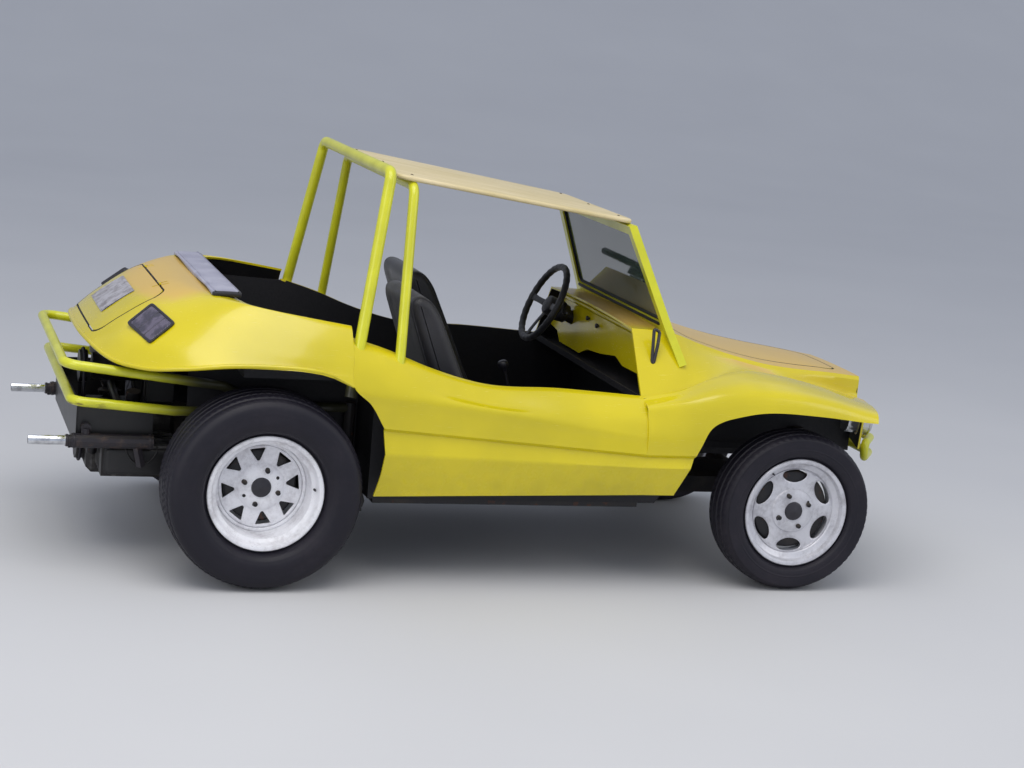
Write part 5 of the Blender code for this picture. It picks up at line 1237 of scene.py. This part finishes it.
cream = finish_of("roof_cream_paint", roof_finish, Coat_Weight=0.15, Coat_Roughness=0.3)
ROOF_THICK = 0.0179
roof_place = set_at((REAR + 0.920, 0.0, (ROOF_REAR[1] + ROOF_FRONT[1]) / 2),
                    (math.degrees(math.atan2(roof_fall, roof_long)), "Y"))
long = math.hypot(roof_long, roof_fall) / 2
right = np.array([(-long, -0.530), (-long + 0.030, -0.560), (long - 0.030, -0.435), (long, -0.405)])
corners = np.vstack([right, right[::-1] * (1, -1)])


def roof_surface(corners, thick, edge):
    """The roof's outline shrunk step by step from its widest line to its flat faces, as a half circle."""
    line = loop_of(corners, 420)
    normal = outward_of(line)
    return np.stack([np.c_[line - normal * edge * (1 - np.cos(step)),
                           np.full(len(line), thick * (1 + np.sin(step)) / 2)]
                     for step in np.linspace(-np.pi / 2, np.pi / 2, 11)])


roof_mesh = capped(roof_surface(corners, ROOF_THICK, 0.008))
head = [(0.0, 0.0028), (0.003, 0.0026), (0.0052, 0.0014), (0.0060, 0.0), (0.0, -0.001)]
bolts = []
for x, y in ((-long + 0.075, 0.470), (-long + 0.075, 0.0), (long - 0.045, 0.360), (long - 0.045, 0.0)):
    for hand in ((-1, 1) if y else (1,)):
        made = lathe(head, 20)
        made.transform(set_at((x, hand * y, ROOF_THICK), (90, "X")))
        bolts.append(made)
roof_mesh.transform(roof_place)
made = piece_of("roof_skin", roof_mesh, cream)
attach(made, "base")
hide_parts("roof_panel")
heads = joined(*bolts)
heads.transform(roof_place)
made = piece_of("roof_bolts", heads, nut_metal)
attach(made, "base")

# Windshield
# A painted flat frame stands on the cowl and carries the roof's front edge. The glass is tinted green,
# dusty round its border, and set in a black rubber strip.


def glass_finish(wire):
    """Tinted glass, hazed in patches by dust."""
    haze = wire.noise(3.0, 5.0).ramp(0.35, 0.85)
    return {"Base Color": haze.between((46, 68, 58), (92, 108, 98)),
            "Roughness": haze * 0.10 + 0.03,
            "Alpha": haze * 0.08 + 0.86}


tinted = finish_of("glass_tinted", glass_finish, Coat_Weight=0.6, Coat_Roughness=0.02)
dress(tinted, "windshield_glass")
dress(tube_paint, "windshield_frame")
lean = 22.2
screen_place = set_at((REAR + 1.540, 0.0, 0.962), (90, "Z"), (90 - lean, "X"))
glass_top = 0.3745
corners = np.array([(-0.494, 0.022), (0.494, 0.022), (0.417, glass_top), (-0.417, glass_top)])
inner = corners * (1 - 0.012, 1)
inner[:2, 1] += 0.005
inner[2:, 1] -= 0.005
strips = [tube_mesh(bent(np.c_[inner, np.full(4, level)], 0.022, 8, True), 0.0052, 14, True)
          for level in (0.0042, -0.0042)]
gasket = joined(*strips)
gasket.transform(screen_place)
made = piece_of("screen_rubber", gasket, rubber)
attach(made, "base")

# Deck pad
# A foam bar in grey vinyl with black ends lies on the deck's front edge, on the fall of the tail's skin,
# with a sewn welt along both upper edges.


def pad_finish(wire):
    """Grey vinyl, its ends and lower part black; the top is bleached and finely creased."""
    ends = wire.maths("ABSOLUTE", wire.axis("Y")).ramp(0.498, 0.503)
    below = wire.axis("X").ramp(-0.966, -0.958)
    dark = wire.maths("MAXIMUM", ends, below)
    cloud = wire.noise(8.0, 4.0).ramp(0.3, 0.75)
    crease = wire.noise(30.0, 4.0, 0.6, (3.0, 0.6, 1.0))
    top = cloud.between((140, 140, 160), (168, 168, 184))
    return {"Base Color": dark.between(top, (26, 25, 32)), "Roughness": cloud * 0.15 + 0.62,
            "Normal": wire.bump(crease * 2.0 + wire.cells(280.0) * 0.3, 0.0012, 0.5)}


def pad_surface(ground):
    """A bar along Y with a superellipse section whose foot follows the deck; its ends close as one."""
    half_long, half_wide, top, off_deck = 0.514, 0.0545, 1.0255, 0.0012
    along = np.sin(np.linspace(-1, 1, 121) * np.pi / 2)
    turn = full_turn(72)
    close = np.clip(1 - np.abs(along) ** 40, 0, 1) ** (1 / 3.2)
    power = 2 / 4.5
    across = np.sign(np.cos(turn)) * np.abs(np.cos(turn)) ** power
    up = np.sign(np.sin(turn)) * np.abs(np.sin(turn)) ** power
    x = REAR - 0.135 + half_wide * across[None] * (0.75 + 0.25 * close[:, None])
    y = np.repeat(half_long * along[:, None], 72, 1)
    low = ground(x, y) + off_deck
    high = top - 0.0025 * (y / 0.5) ** 2
    middle = (low + high) / 2
    z = middle + (high - low) / 2 * up[None] * close[:, None]
    return np.stack([x, y, z], -1)


def deck_terms(x, y):
    """The powers of place that a deck's height is fitted with."""
    x = x - REAR
    return np.stack([np.ones_like(x), x, x * x, y * y, x * y * y, y ** 4, x * y ** 4], -1)


deck = tail_surface()[:22, 20:101].reshape(-1, 3)
fit = np.linalg.lstsq(deck_terms(deck[:, 0], deck[:, 1]), deck[:, 2], rcond=None)[0]
grid = pad_surface(lambda x, y: deck_terms(x, y) @ fit)
pad_vinyl = finish_of("pad_vinyl", pad_finish, Sheen_Weight=0.1)
welts = [tube_mesh(grid[6:-6, column] + (0, 0, 0.0006), 0.0022, 8) for column in (11, 25)]
made = piece_of("pad_bar", joined(capped(grid), *welts), pad_vinyl, 50.0)
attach(made, "base")
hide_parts("deck_pad")

# Engine, fan shroud and exhaust
# An air-cooled flat four hangs behind the gearbox: cast crankcase, finned barrels, a black sheet shroud
# with its belt-driven fan. Dirt and oil lie on it, and painted shade darkens its lower parts. Two black
# silencers end in chromed tips.


def cast_finish(wire):
    """Sand-cast alloy under oil and road dirt: grains and pits, and painted shade that darkens it the lower
    it is.
    """
    grain = wire.noise(140.0, 4.0, 0.7)
    oil = wire.noise(9.0, 5.0, 0.65).ramp(0.36, 0.60)
    # Painted shade: besides the oily patches, the alloy darkens towards the bottom, where the engine lies in
    # shade.
    low = wire.axis("Z").ramp(0.52, 0.30)
    dark = (oil * 0.6 + low * 0.5).ramp(0.1, 0.8)
    return {"Base Color": dark.between((112, 110, 108), (30, 27, 26)),
            "Metallic": dark * -0.6 + 0.75, "Roughness": grain * 0.2 + 0.42,
            "Normal": wire.bump(grain + oil, 0.0012, 0.5)}


def tin_finish(wire):
    """Black stoving paint on sheet, greyed by dust on its upper faces."""
    dust = wire.noise(14.0, 5.0).ramp(0.35, 0.8) * wire.axis("Z", "Normal").ramp(-0.2, 0.9)
    chip = wire.noise(48.0, 4.0, 0.7).ramp(0.68, 0.74)
    paint = dust.between((18, 18, 20), (82, 76, 68))
    return {"Base Color": chip.between(paint, (70, 52, 40)),
            "Roughness": dust * 0.3 + 0.38 + chip * 0.2,
            "Normal": wire.bump(wire.noise(30.0, 2.0), 0.0006, 0.3)}


def exhaust_finish(wire):
    """Heat-browned black pipes; behind the collars the tips are bright chrome with a grey film."""
    tip = wire.axis("X").ramp(REAR - 0.669, REAR - 0.672)
    rust = wire.noise(22.0, 6.0, 0.7).ramp(0.48, 0.72)
    film = wire.noise(35.0, 4.0).ramp(0.4, 0.8)
    pipe = rust.between((42, 39, 44), (76, 62, 56))
    chrome = film.between((226, 228, 232), (168, 168, 172))
    return {"Base Color": tip.between(pipe, chrome), "Metallic": tip * 0.75 + 0.25,
            "Roughness": (film * 0.12 - rust * 0.1 - 0.34) * tip + rust * 0.1 + 0.45,
            "Normal": wire.bump(rust * 0.7 + wire.noise(90.0), 0.0007, 0.4)}


cast = finish_of("cast_alloy", cast_finish)
tin = finish_of("shroud_tin", tin_finish)
pipes = finish_of("exhaust_pipes", exhaust_finish)
dress(cast, "engine")
dress(tin, "fan_shroud", "engine_apron")
dress(pipes, "exhaust")


def at_rear(*points):
    """Points measured from the rear axle, as an array in the shared frame."""
    return np.array(points, float) + (REAR, 0, 0)


def turned(profile, place, axis, sides=32):
    """A profile of (radius, distance) pairs revolved about an axis through a place."""
    made = lathe(np.array(profile, float) * (1, -1), sides)
    aim = Vector((0, 1, 0)).rotation_difference(Vector(axis)).to_matrix().to_4x4()
    made.transform(Matrix.Translation(place) @ aim)
    return made


def belt_path(low, high, first, second, x):
    """A belt's line: an arc round each pulley, joined by the straight outer tangents."""
    lean = math.asin((first - second) / (high - low))
    around = np.linspace(np.pi - lean, 2 * np.pi + lean, 40)
    over = np.linspace(lean, np.pi - lean, 30)[:, None]
    lower = np.c_[np.cos(around) * first, low + np.sin(around) * first]
    upper = np.c_[np.cos(over) * second, high + np.sin(over) * second]
    return np.c_[np.full(70, x), np.vstack([lower, upper])]


# The belt from the crank's pulley to the fan's
belt = tube_mesh(at_rear(*belt_path(0.370, 0.640, 0.0885, 0.0655, -0.575)), 0.0058, 10, True)
made = piece_of("fan_belt", belt, rubber)
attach(made, "base")

# The shroud's pressed oval, its two seams and its screws
oval = at_rear(*[(-0.3675, 0.155 * math.cos(angle), 0.645 + 0.125 * math.sin(angle))
                 for angle in full_turn(60)])
parts = [tube_mesh(oval, 0.0045, 10, True)]
for y in (-0.205, 0.205):
    parts.append(tube_mesh(at_rear((-0.3665, y, 0.560), (-0.3665, y, 0.735)), 0.0042, 10))
screw = [(0, 0.006), (0.005, 0.0058), (0.0058, 0.0), (0, -0.001)]
for y, z in ((-0.225, 0.600), (0.225, 0.600), (-0.12, 0.765), (0.12, 0.765), (-0.07, 0.525), (0.07, 0.525)):
    parts.append(turned(screw, at_rear((-0.3655, y, z))[0], (-1, 0, 0), 6))
made = piece_of("shroud_beads", joined(*parts), tin)
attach(made, "base")

# Coil and band, carburettor with throttle rod and inlet pipes, fuel pump and two small canisters
can = [(0, -0.002), (0.0255, -0.002), (0.0270, 0.002), (0.0270, 0.098), (0.0250, 0.103), (0.0120, 0.105),
       (0.0115, 0.122), (0.006, 0.124), (0, 0.124)]
coil_foot = at_rear((-0.405, -0.192, 0.585))[0]
coil = turned(can, coil_foot, (0, -0.25, 1))
band = turned([(0.0278, 0.035), (0.0285, 0.040), (0.0285, 0.060), (0.0278, 0.065)], coil_foot, (0, -0.25, 1))
bowl = [(0, 0.0), (0.030, 0.001), (0.034, 0.008), (0.034, 0.030), (0.028, 0.038), (0.030, 0.046),
        (0.044, 0.050), (0.044, 0.060), (0.026, 0.064), (0.025, 0.090), (0, 0.091)]
carb = turned(bowl, at_rear((-0.455, 0.13, 0.575))[0], (0, 0, 1))
lever = tube_mesh(spline(at_rear((-0.49, 0.13, 0.60), (-0.512, 0.09, 0.612), (-0.515, 0.02, 0.60),
                                 (-0.50, -0.06, 0.575)), 6), 0.0028, 10)
pipe_runs = [tube_mesh(spline(at_rear((-0.455, 0.13 + hand * 0.02, 0.56), (-0.455, 0.13 + hand * 0.09, 0.545),
                                      (-0.452, hand * 0.300 + 0.02, 0.520),
                                      (-0.420, hand * 0.365, 0.478), (-0.400, hand * 0.375, 0.434)), 6),
                       0.0155, 20) for hand in (-1, 1)]
fuel_pump = turned([(0, 0), (0.030, 0.0), (0.034, 0.004), (0.034, 0.012), (0.026, 0.020), (0.024, 0.034),
                    (0.014, 0.040), (0, 0.041)], at_rear((-0.50, -0.12, 0.4995))[0], (-0.2, -0.3, 1))
canisters = [turned([(0, 0.0), (0.0185, 0.0), (0.0185, 0.095), (0.015, 0.100), (0, 0.1005)],
                    at_rear((-0.545, y, 0.47))[0], (0.15, 0, 1), 24) for y in (-0.235, -0.290)]
made = piece_of("carburettor_and_coil", joined(carb, coil, lever, fuel_pump, *canisters), nut_metal)
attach(made, "base")
made = piece_of("inlet_manifold", joined(band, *pipe_runs), tin)
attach(made, "base")

cap = [(0, -0.001), (0.0205, 0.0), (0.0205, 0.050), (0.0300, 0.055), (0.0315, 0.075), (0.0260, 0.092),
       (0.008, 0.096), (0.008, 0.106), (0, 0.107)]
cap_foot = at_rear((-0.46, -0.055, 0.4995))[0]
made = piece_of("distributor", turned(cap, cap_foot, (0, 0, 1)), cap_black)
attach(made, "base")

# Rocker covers, as an outline that shrinks over (distance out, size) steps, and their wire bails
levels = ((0.0, 1.0), (0.004, 1.0), (0.0045, 0.955), (0.0090, 0.93), (0.0115, 0.86), (0.0120, 0.5))
parts = []
for hand in (-1, 1):
    outline = loop_of([(-0.528, 0.326), (-0.262, 0.326), (-0.262, 0.424), (-0.528, 0.424)], 96)
    centre = outline.mean(0)
    rows = np.stack([np.c_[REAR + centre[0] + (outline[:, 0] - centre[0]) * size,
                           np.full(len(outline), hand * (0.4200 + rise)),
                           centre[1] + (outline[:, 1] - centre[1]) * size] for rise, size in levels])
    parts.append(capped(rows))
    bail = at_rear((-0.45, hand * 0.425, 0.434), (-0.45, hand * 0.4355, 0.415), (-0.42, hand * 0.4355, 0.375),
                   (-0.37, hand * 0.4355, 0.375), (-0.34, hand * 0.4355, 0.415), (-0.34, hand * 0.425, 0.434))
    parts.append(tube_mesh(spline(bail, 6), 0.0026, 8))
made = piece_of("rocker_covers", joined(*parts), tin)
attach(made, "base")

# Collars round the silencers and the heads of their clamp bolts
parts = []
for hand in (-1, 1):
    for x, radius, wide in ((-0.640, 0.0275, 0.006), (-0.372, 0.0275, 0.006), (-0.664, 0.0225, 0.005)):
        parts.append(turned([(radius - 0.003, -wide), (radius, -wide * 0.6), (radius, wide * 0.6),
                             (radius - 0.003, wide)], at_rear((x, hand * 0.460, 0.456))[0], (1, 0, 0), 40))
    clamp = at_rear((-0.655, hand * 0.460, 0.4335))[0]
    parts.append(turned([(0, -0.004), (0.005, -0.004), (0.005, 0.008), (0, 0.0085)], clamp, (0, 0, -1), 6))
made = piece_of("exhaust_bands", joined(*parts), pipes)
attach(made, "base")

# Lamps
# The tail lamps are smoked lenses in black bezels, let into the rear quarters. The headlamps are clear
# domed lenses over a bright reflector, with a narrow chromed ring.


def on_skin(made, points, down):
    """Where each point lands on a skin along a direction; not a number where it misses the skin."""
    found = []
    for point in points:
        hit, place, _, _ = made.ray_cast(Vector(point), Vector(down))
        found.append(tuple(place) if hit else (np.nan,) * 3)
    return np.array(found)


def smoked_finish(wire):
    """A ribbed smoked lens, mottled in two shades of grey-violet."""
    ribs = wire.maths("SINE", wire.axis("X") * 900.0)
    field = wire.noise(24.0, 2.0).ramp(0.42, 0.58)
    return {"Base Color": field.between((52, 46, 62), (88, 80, 98)),
            "Roughness": field * 0.1 + 0.18, "Normal": wire.bump(ribs, 0.0008, 0.35)}


def node_points(name):
    """The points of a CAD node, in the shared frame."""
    node = bpy.data.objects[name]
    return np.array([tuple(node.matrix_world @ vert.co) for vert in node.data.vertices])


smoked = finish_of("lamp_smoked", smoked_finish, Coat_Weight=0.8, Coat_Roughness=0.04)
for side, hand in SIDES:
    points = node_points("tail_lamp_" + side)
    short_way = np.array((-0.075, hand * 0.010, -0.075)) / 0.10654
    normal = np.cross(short_way, (0.100, hand * 0.100, -0.055))
    normal = normal / np.linalg.norm(normal) * np.sign(normal[2])
    long_way = np.cross(normal, short_way)
    middle = (points.min(0) + points.max(0)) / 2
    face = middle + normal * ((points - middle) @ normal).max()
    reach = (((points - middle) @ long_way).max(), ((points - middle) @ short_way).max())

    u, v = np.meshgrid(np.linspace(-1.12, 1.12, 9), np.linspace(-1.12, 1.12, 9), indexing="ij")
    over = face + u[..., None] * reach[0] * long_way + v[..., None] * reach[1] * short_way + 0.06 * normal
    skin = (on_skin(tail, over.reshape(-1, 3), -normal) - face) @ normal
    seen = ~np.isnan(skin) & (skin > -0.02)
    plane = np.stack([np.ones(u.size), u.ravel() * reach[0], v.ravel() * reach[1]], 1)[seen]
    tilt = np.linalg.lstsq(plane, skin[seen], rcond=None)[0]
    tilt[0] += (skin[seen] - plane @ tilt).max() + 0.0015

    def ring_at(size, lift):
        """A rounded rectangle round the lens's face, grown by a size and lifted off it."""
        long, short = reach[0] + size, reach[1] + size
        line = loop_of([(-long, -short), (long, -short), (long, short), (-long, short)], 96)
        lift = lift + tilt[0] + line[:, :1] * tilt[1] + line[:, 1:] * tilt[2]
        return face + line[:, :1] * long_way + line[:, 1:] * short_way + normal * lift

    bezel = np.stack([ring_at(size, lift) for size, lift in (
        (0.0045, -0.022), (0.0050, -0.010), (0.0055, 0.001), (0.0045, 0.0042), (0.0015, 0.0050),
        (-0.0035, 0.0030), (-0.0045, -0.0005))])
    bars = []
    for share in (-0.22, 0.36):
        ends = [face + long_way * reach[0] * share + short_way * end
                + normal * (0.0008 + tilt[0] + reach[0] * share * tilt[1] + end * tilt[2])
                for end in (-reach[1] * 0.96, reach[1] * 0.96)]
        bars.append(tube_mesh(ends, 0.0026, 10))
    dome = np.stack([ring_at(-0.0035 - 0.022 * (1 - math.cos(step)), 0.0030 * math.sin(step))
                     for step in np.linspace(0, math.pi / 2, 8)])
    made = piece_of("tail_bezel_" + side, joined(mesh_of(bezel, around=True), *bars), cap_black)
    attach(made, "base")
    made = piece_of("tail_lens_" + side, mesh_of(dome, around=True, caps=(False, True)), smoked, 60.0)
    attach(made, "base")
    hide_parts("tail_lamp_" + side)


def lens_finish(wire):
    """Fluted headlamp glass: fine upright flutes over a grey-white glow of the reflector."""
    flutes = wire.maths("SINE", wire.axis("Y") * 620.0)
    cloud = wire.noise(20.0, 3.0)
    return {"Base Color": cloud.between((176, 180, 184), (226, 228, 228)),
            "Metallic": cloud * 0.2 + 0.55, "Roughness": cloud * 0.08 + 0.10,
            "Normal": wire.bump(flutes, 0.001, 0.5)}


clear = finish_of("lamp_clear_glass", lens_finish, Coat_Weight=1.0, Coat_Roughness=0.02)
bright = finish_of("bright_trim", lambda wire: {
    "Base Color": wire.noise(30.0, 4.0).between((214, 216, 220), (176, 176, 180)),
    "Roughness": wire.noise(60.0, 3.0) * 0.12 + 0.10}, Metallic=1.0)
dress(clear, "headlamp_right", "headlamp_left")
for side, hand in SIDES:
    at = np.array((node_points("headlamp_" + side)[:, 0].max(), hand * LAMP_SPOT[1], LAMP_SPOT[2]))
    ring = turned([(0.0575, -0.006), (0.0625, -0.005), (0.0645, 0.0), (0.0625, 0.005), (0.0575, 0.0035),
                   (0.0560, -0.001)], at, (1, 0, 0), 64)
    dome = turned([(0.0568, 0.0006)] + [(0.0568 * math.cos(step), 0.0006 + 0.0115 * math.sin(step))
                                        for step in np.linspace(0.1, math.pi / 2, 10)], at, (1, 0, 0), 64)
    made = piece_of("headlamp_ring_" + side, ring, bright)
    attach(made, "base")
    made = piece_of("headlamp_lens_" + side, dome, clear, 60.0)
    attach(made, "base")

# Number plate
# A thin pressed plate, left blank, with a raised border; it follows the fall of the rear lid and is held
# by two screws.


def plate_finish(wire):
    """Weathered white-grey plate paint, dull where dust lies."""
    dust = wire.noise(26.0, 5.0, 0.65).ramp(0.38, 0.68)
    return {"Base Color": dust.between((172, 170, 176), (128, 124, 128)),
            "Roughness": dust * 0.2 + 0.42, "Normal": wire.bump(dust, 0.0005, 0.3)}


plate_paint = finish_of("plate_grey_paint", plate_finish)
points = node_points("number_plate")
middle = points.mean(0)
across, along, normal = np.linalg.svd(points - middle)[2]
normal = normal * np.sign(normal[2])
along = along * np.sign(along[0])
half_long = np.abs((points - middle) @ across).max()
half_wide = np.abs((points - middle) @ along).max()
u, v = np.meshgrid(np.linspace(-1, 1, 121), np.linspace(-1, 1, 61), indexing="ij")
rim_at = np.minimum((1 - np.abs(u)) * half_long, (1 - np.abs(v)) * half_wide)
raised = 0.0016 * np.exp(-((rim_at - 0.008) / 0.0032) ** 2)
panel = 0.0011 * np.clip((0.004 - np.abs(rim_at - 0.026)) / 0.004, 0, 1)
over = middle + u[..., None] * half_long * across + v[..., None] * half_wide * along + 0.06 * normal
deep = ((on_skin(lid, over.reshape(-1, 3), -normal) - middle) @ normal).reshape(u.shape)
terms = np.stack([np.ones_like(u), u, v, u * u, u * v, v * v, u ** 4], -1)
fit = np.linalg.lstsq(terms[~np.isnan(deep)], deep[~np.isnan(deep)], rcond=None)[0]
rise = terms @ fit + 0.0034 + raised - panel
shape = (middle + u[..., None] * half_long * 0.998 * across + v[..., None] * half_wide * 0.998 * along
         + rise[..., None] * normal)
under = shape[::-1] - 0.0030 * normal
screws = [turned([(0, 0.003), (0.004, 0.0028), (0.0055, 0.0012), (0.006, 0), (0, -0.001)],
                 shape[60 + 38 * hand, 30], tuple(normal), 20) for hand in (-1, 1)]
made = piece_of("plate_blank", joined(mesh_of(shape), mesh_of(under), *screws), plate_paint, 45.0, 4e-4)
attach(made, "rear_lid")
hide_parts("number_plate")

# Body trim
# The tail's lower edge ends in a rolled bead. A black rubber strip lies in each lid's gap, and the lids
# hang on small steel straps. Black trim stands at the screen's foot and shuts the cowl under the dash.

edge = tail_surface()[-1]
run = np.linalg.norm(np.diff(edge, axis=0), axis=1).sum()
even = np.linspace(0, run, 241)[2:-2]
lip = evenly(edge, 241, closed=False)[2:-2]
inward = np.gradient(lip, axis=0)
inward = np.stack([-inward[:, 1], inward[:, 0], 0 * inward[:, 0]], 1)
inward = inward / np.linalg.norm(inward, axis=1)[:, None]
if ((np.array((REAR, 0.0, 0.8)) - lip) * inward).sum() < 0:
    inward = -inward
size = 0.0085 * np.clip(np.minimum(even, run - even) / 0.15, 0.25, 1.0)
made = piece_of("tail_lip_bead", tube_mesh(lip + inward * 0.004, size, 20), body_paint)
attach(made, "base")

seals = []
for skin, cover, opening, place in ((tail, lid, lid_outline(*rear_sizes, 0.0036), rear_place),
                                    (nose, hood, lid_outline(*hood_sizes, 0.0036), hood_place)):
    flat = evenly(opening, 260)
    centre = flat.mean(0)
    rows = []
    for source, grow in ((skin, 0.0062), (cover, -0.0062)):
        scale = 1 + grow / np.linalg.norm(flat - centre, axis=1)[:, None]
        start = [place @ Vector((*point, 0.25)) for point in (flat - centre) * scale + centre]
        rows.append(on_skin(source, start, place.to_3x3() @ Vector((0, 0, -1))))
    one, two = rows
    line = np.where(np.isnan(one), two, np.where(np.isnan(two), one, (one + two) / 2))
    for axis in range(3):
        gap = np.isnan(line[:, axis])
        line[gap, axis] = np.interp(np.flatnonzero(gap), np.flatnonzero(~gap), line[~gap, axis],
                                    period=len(line))
    normal = np.array(place.to_3x3() @ Vector((0, 0, 1)))
    seals.append(tube_mesh(eased(line, 2) - normal * 0.0022, 0.0030, 10, True))
made = piece_of("lid_seals", joined(*seals), rubber)
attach(made, "base")

u, v = np.meshgrid(np.linspace(-1, 1, 61), np.linspace(0, 1, 9), indexing="ij")
board = np.stack([REAR + 1.578 + 0.006 * np.cos(u * 1.5) * (1 - v), 0.640 * u,
                  0.560 + v * 0.180 - 0.03 * u * u * v], -1)
back = board[::-1] + (0.003, 0, 0)
made = piece_of("under_dash_board", joined(mesh_of(board), mesh_of(back)), tub_black, 50.0)
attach(made, "base")

for side, hand in SIDES:
    reach = np.linspace(FRONT - 0.430, FRONT + 0.375, 24)
    deep = hand * (0.352 + 0.02 * np.linspace(0, 1, 24) ** 6)
    high = on_skin(nose, np.stack([reach, deep, np.full(24, 0.45)], 1), (0, 0, 1))[:, 2]
    high = np.where(np.isnan(high), 0.66, high) - 0.016
    rise = np.linspace(0, 1, 12)[None]
    low = np.linspace(0.500, 0.470, 24)[:, None]
    wall = np.stack([reach[:, None] + 0 * rise, deep[:, None] + 0 * rise,
                     low + (high[:, None] - low) * rise], -1)
    made = piece_of("nose_splash_" + side, mesh_of(wall), tub_black, 50.0)
    made.modifiers.new("wall", "SOLIDIFY").thickness = 0.004
    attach(made, "base")


def straps(name, ride, centre, along, lid_skin, body_skin):
    """Two strap hinges over a lid's gap: a barrel in it and leaves that follow the skins on both sides."""
    along = np.array(along) / np.linalg.norm(along)
    across = np.array((0.0, np.sign(along[0]), 0.0))
    up = np.cross(along, across)
    parts = {1: [], -1: []}
    turn = full_turn(16)
    barrel_reach, leaf_thick, leaf_in = 0.0040, 0.0009, 0.0015
    ring = np.stack([barrel_reach * np.cos(turn), 0 * turn, barrel_reach * np.sin(turn)], -1)
    for hand in (-1, 1):
        place = Matrix.Translation((centre[0], hand * 0.215, centre[2])) @ Matrix(
            (along, across, up)).transposed().to_4x4()
        for low, high, side in ((-0.011, 0.011, 1), (-0.027, -0.0113, -1), (0.0113, 0.027, -1)):
            barrel = capped(np.stack([ring + (0, low, 0), ring + (0, high, 0)]))
            reach = np.linspace(0.001, 0.030, 7)
            over = [place @ Vector((side * far, (low + high) / 2, 0.06)) for far in reach]
            hit = on_skin(lid_skin if side > 0 else body_skin, over, -up)
            level = (hit - np.array(place.translation)) @ up
            seen = ~np.isnan(level)
            level = np.interp(reach, reach[seen], level[seen]) + 0.0003
            leaf = np.stack([np.stack([side * reach, 0 * reach + wide, level + lift], -1)
                             for wide, lift in ((low + leaf_in, 0.0), (high - leaf_in, 0.0),
                                                (high - leaf_in, leaf_thick),
                                                (low + leaf_in, leaf_thick))], 1)
            for mesh in (barrel, capped(leaf)):
                mesh.transform(place)
                parts[side].append(mesh)
    for side, body in ((1, ride), (-1, "base")):
        made = piece_of(name + ("_lid" if side > 0 else "_body"), joined(*parts[side]), body_paint, 30.0)
        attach(made, body)


straps("rear_lid_straps", "rear_lid", (-1.20738, 0.0, 0.9994), (-0.90, 0.0, -0.44), lid, tail)
straps("hood_straps", "front_hood", (0.77037, 0.0, 0.93714), (0.985, 0.0, -0.22), hood, nose)

foot = [(0.6035, -0.562, 0.962), (0.628, -0.558, 0.948), (0.6195, -0.575, 0.905),
        (0.6055, -0.585, 0.833), (0.5985, -0.585, 0.836), (0.6015, -0.572, 0.90)]
made = piece_of("screen_strap", tube_mesh(bent(foot, 0.006, 4, True), 0.0062, 12, True), cap_black)
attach(made, "base")

foot = [tuple(screen_place @ Vector((0.488 * share, 0.014, level))) for share, level in
        ((-1, 0.0155), (1, 0.0155), (1, -0.0155), (-1, -0.0155))]
made = piece_of("screen_foot_rubber", tube_mesh(bent(foot, 0.012, 6, True), 0.0070, 14, True), rubber)
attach(made, "base")
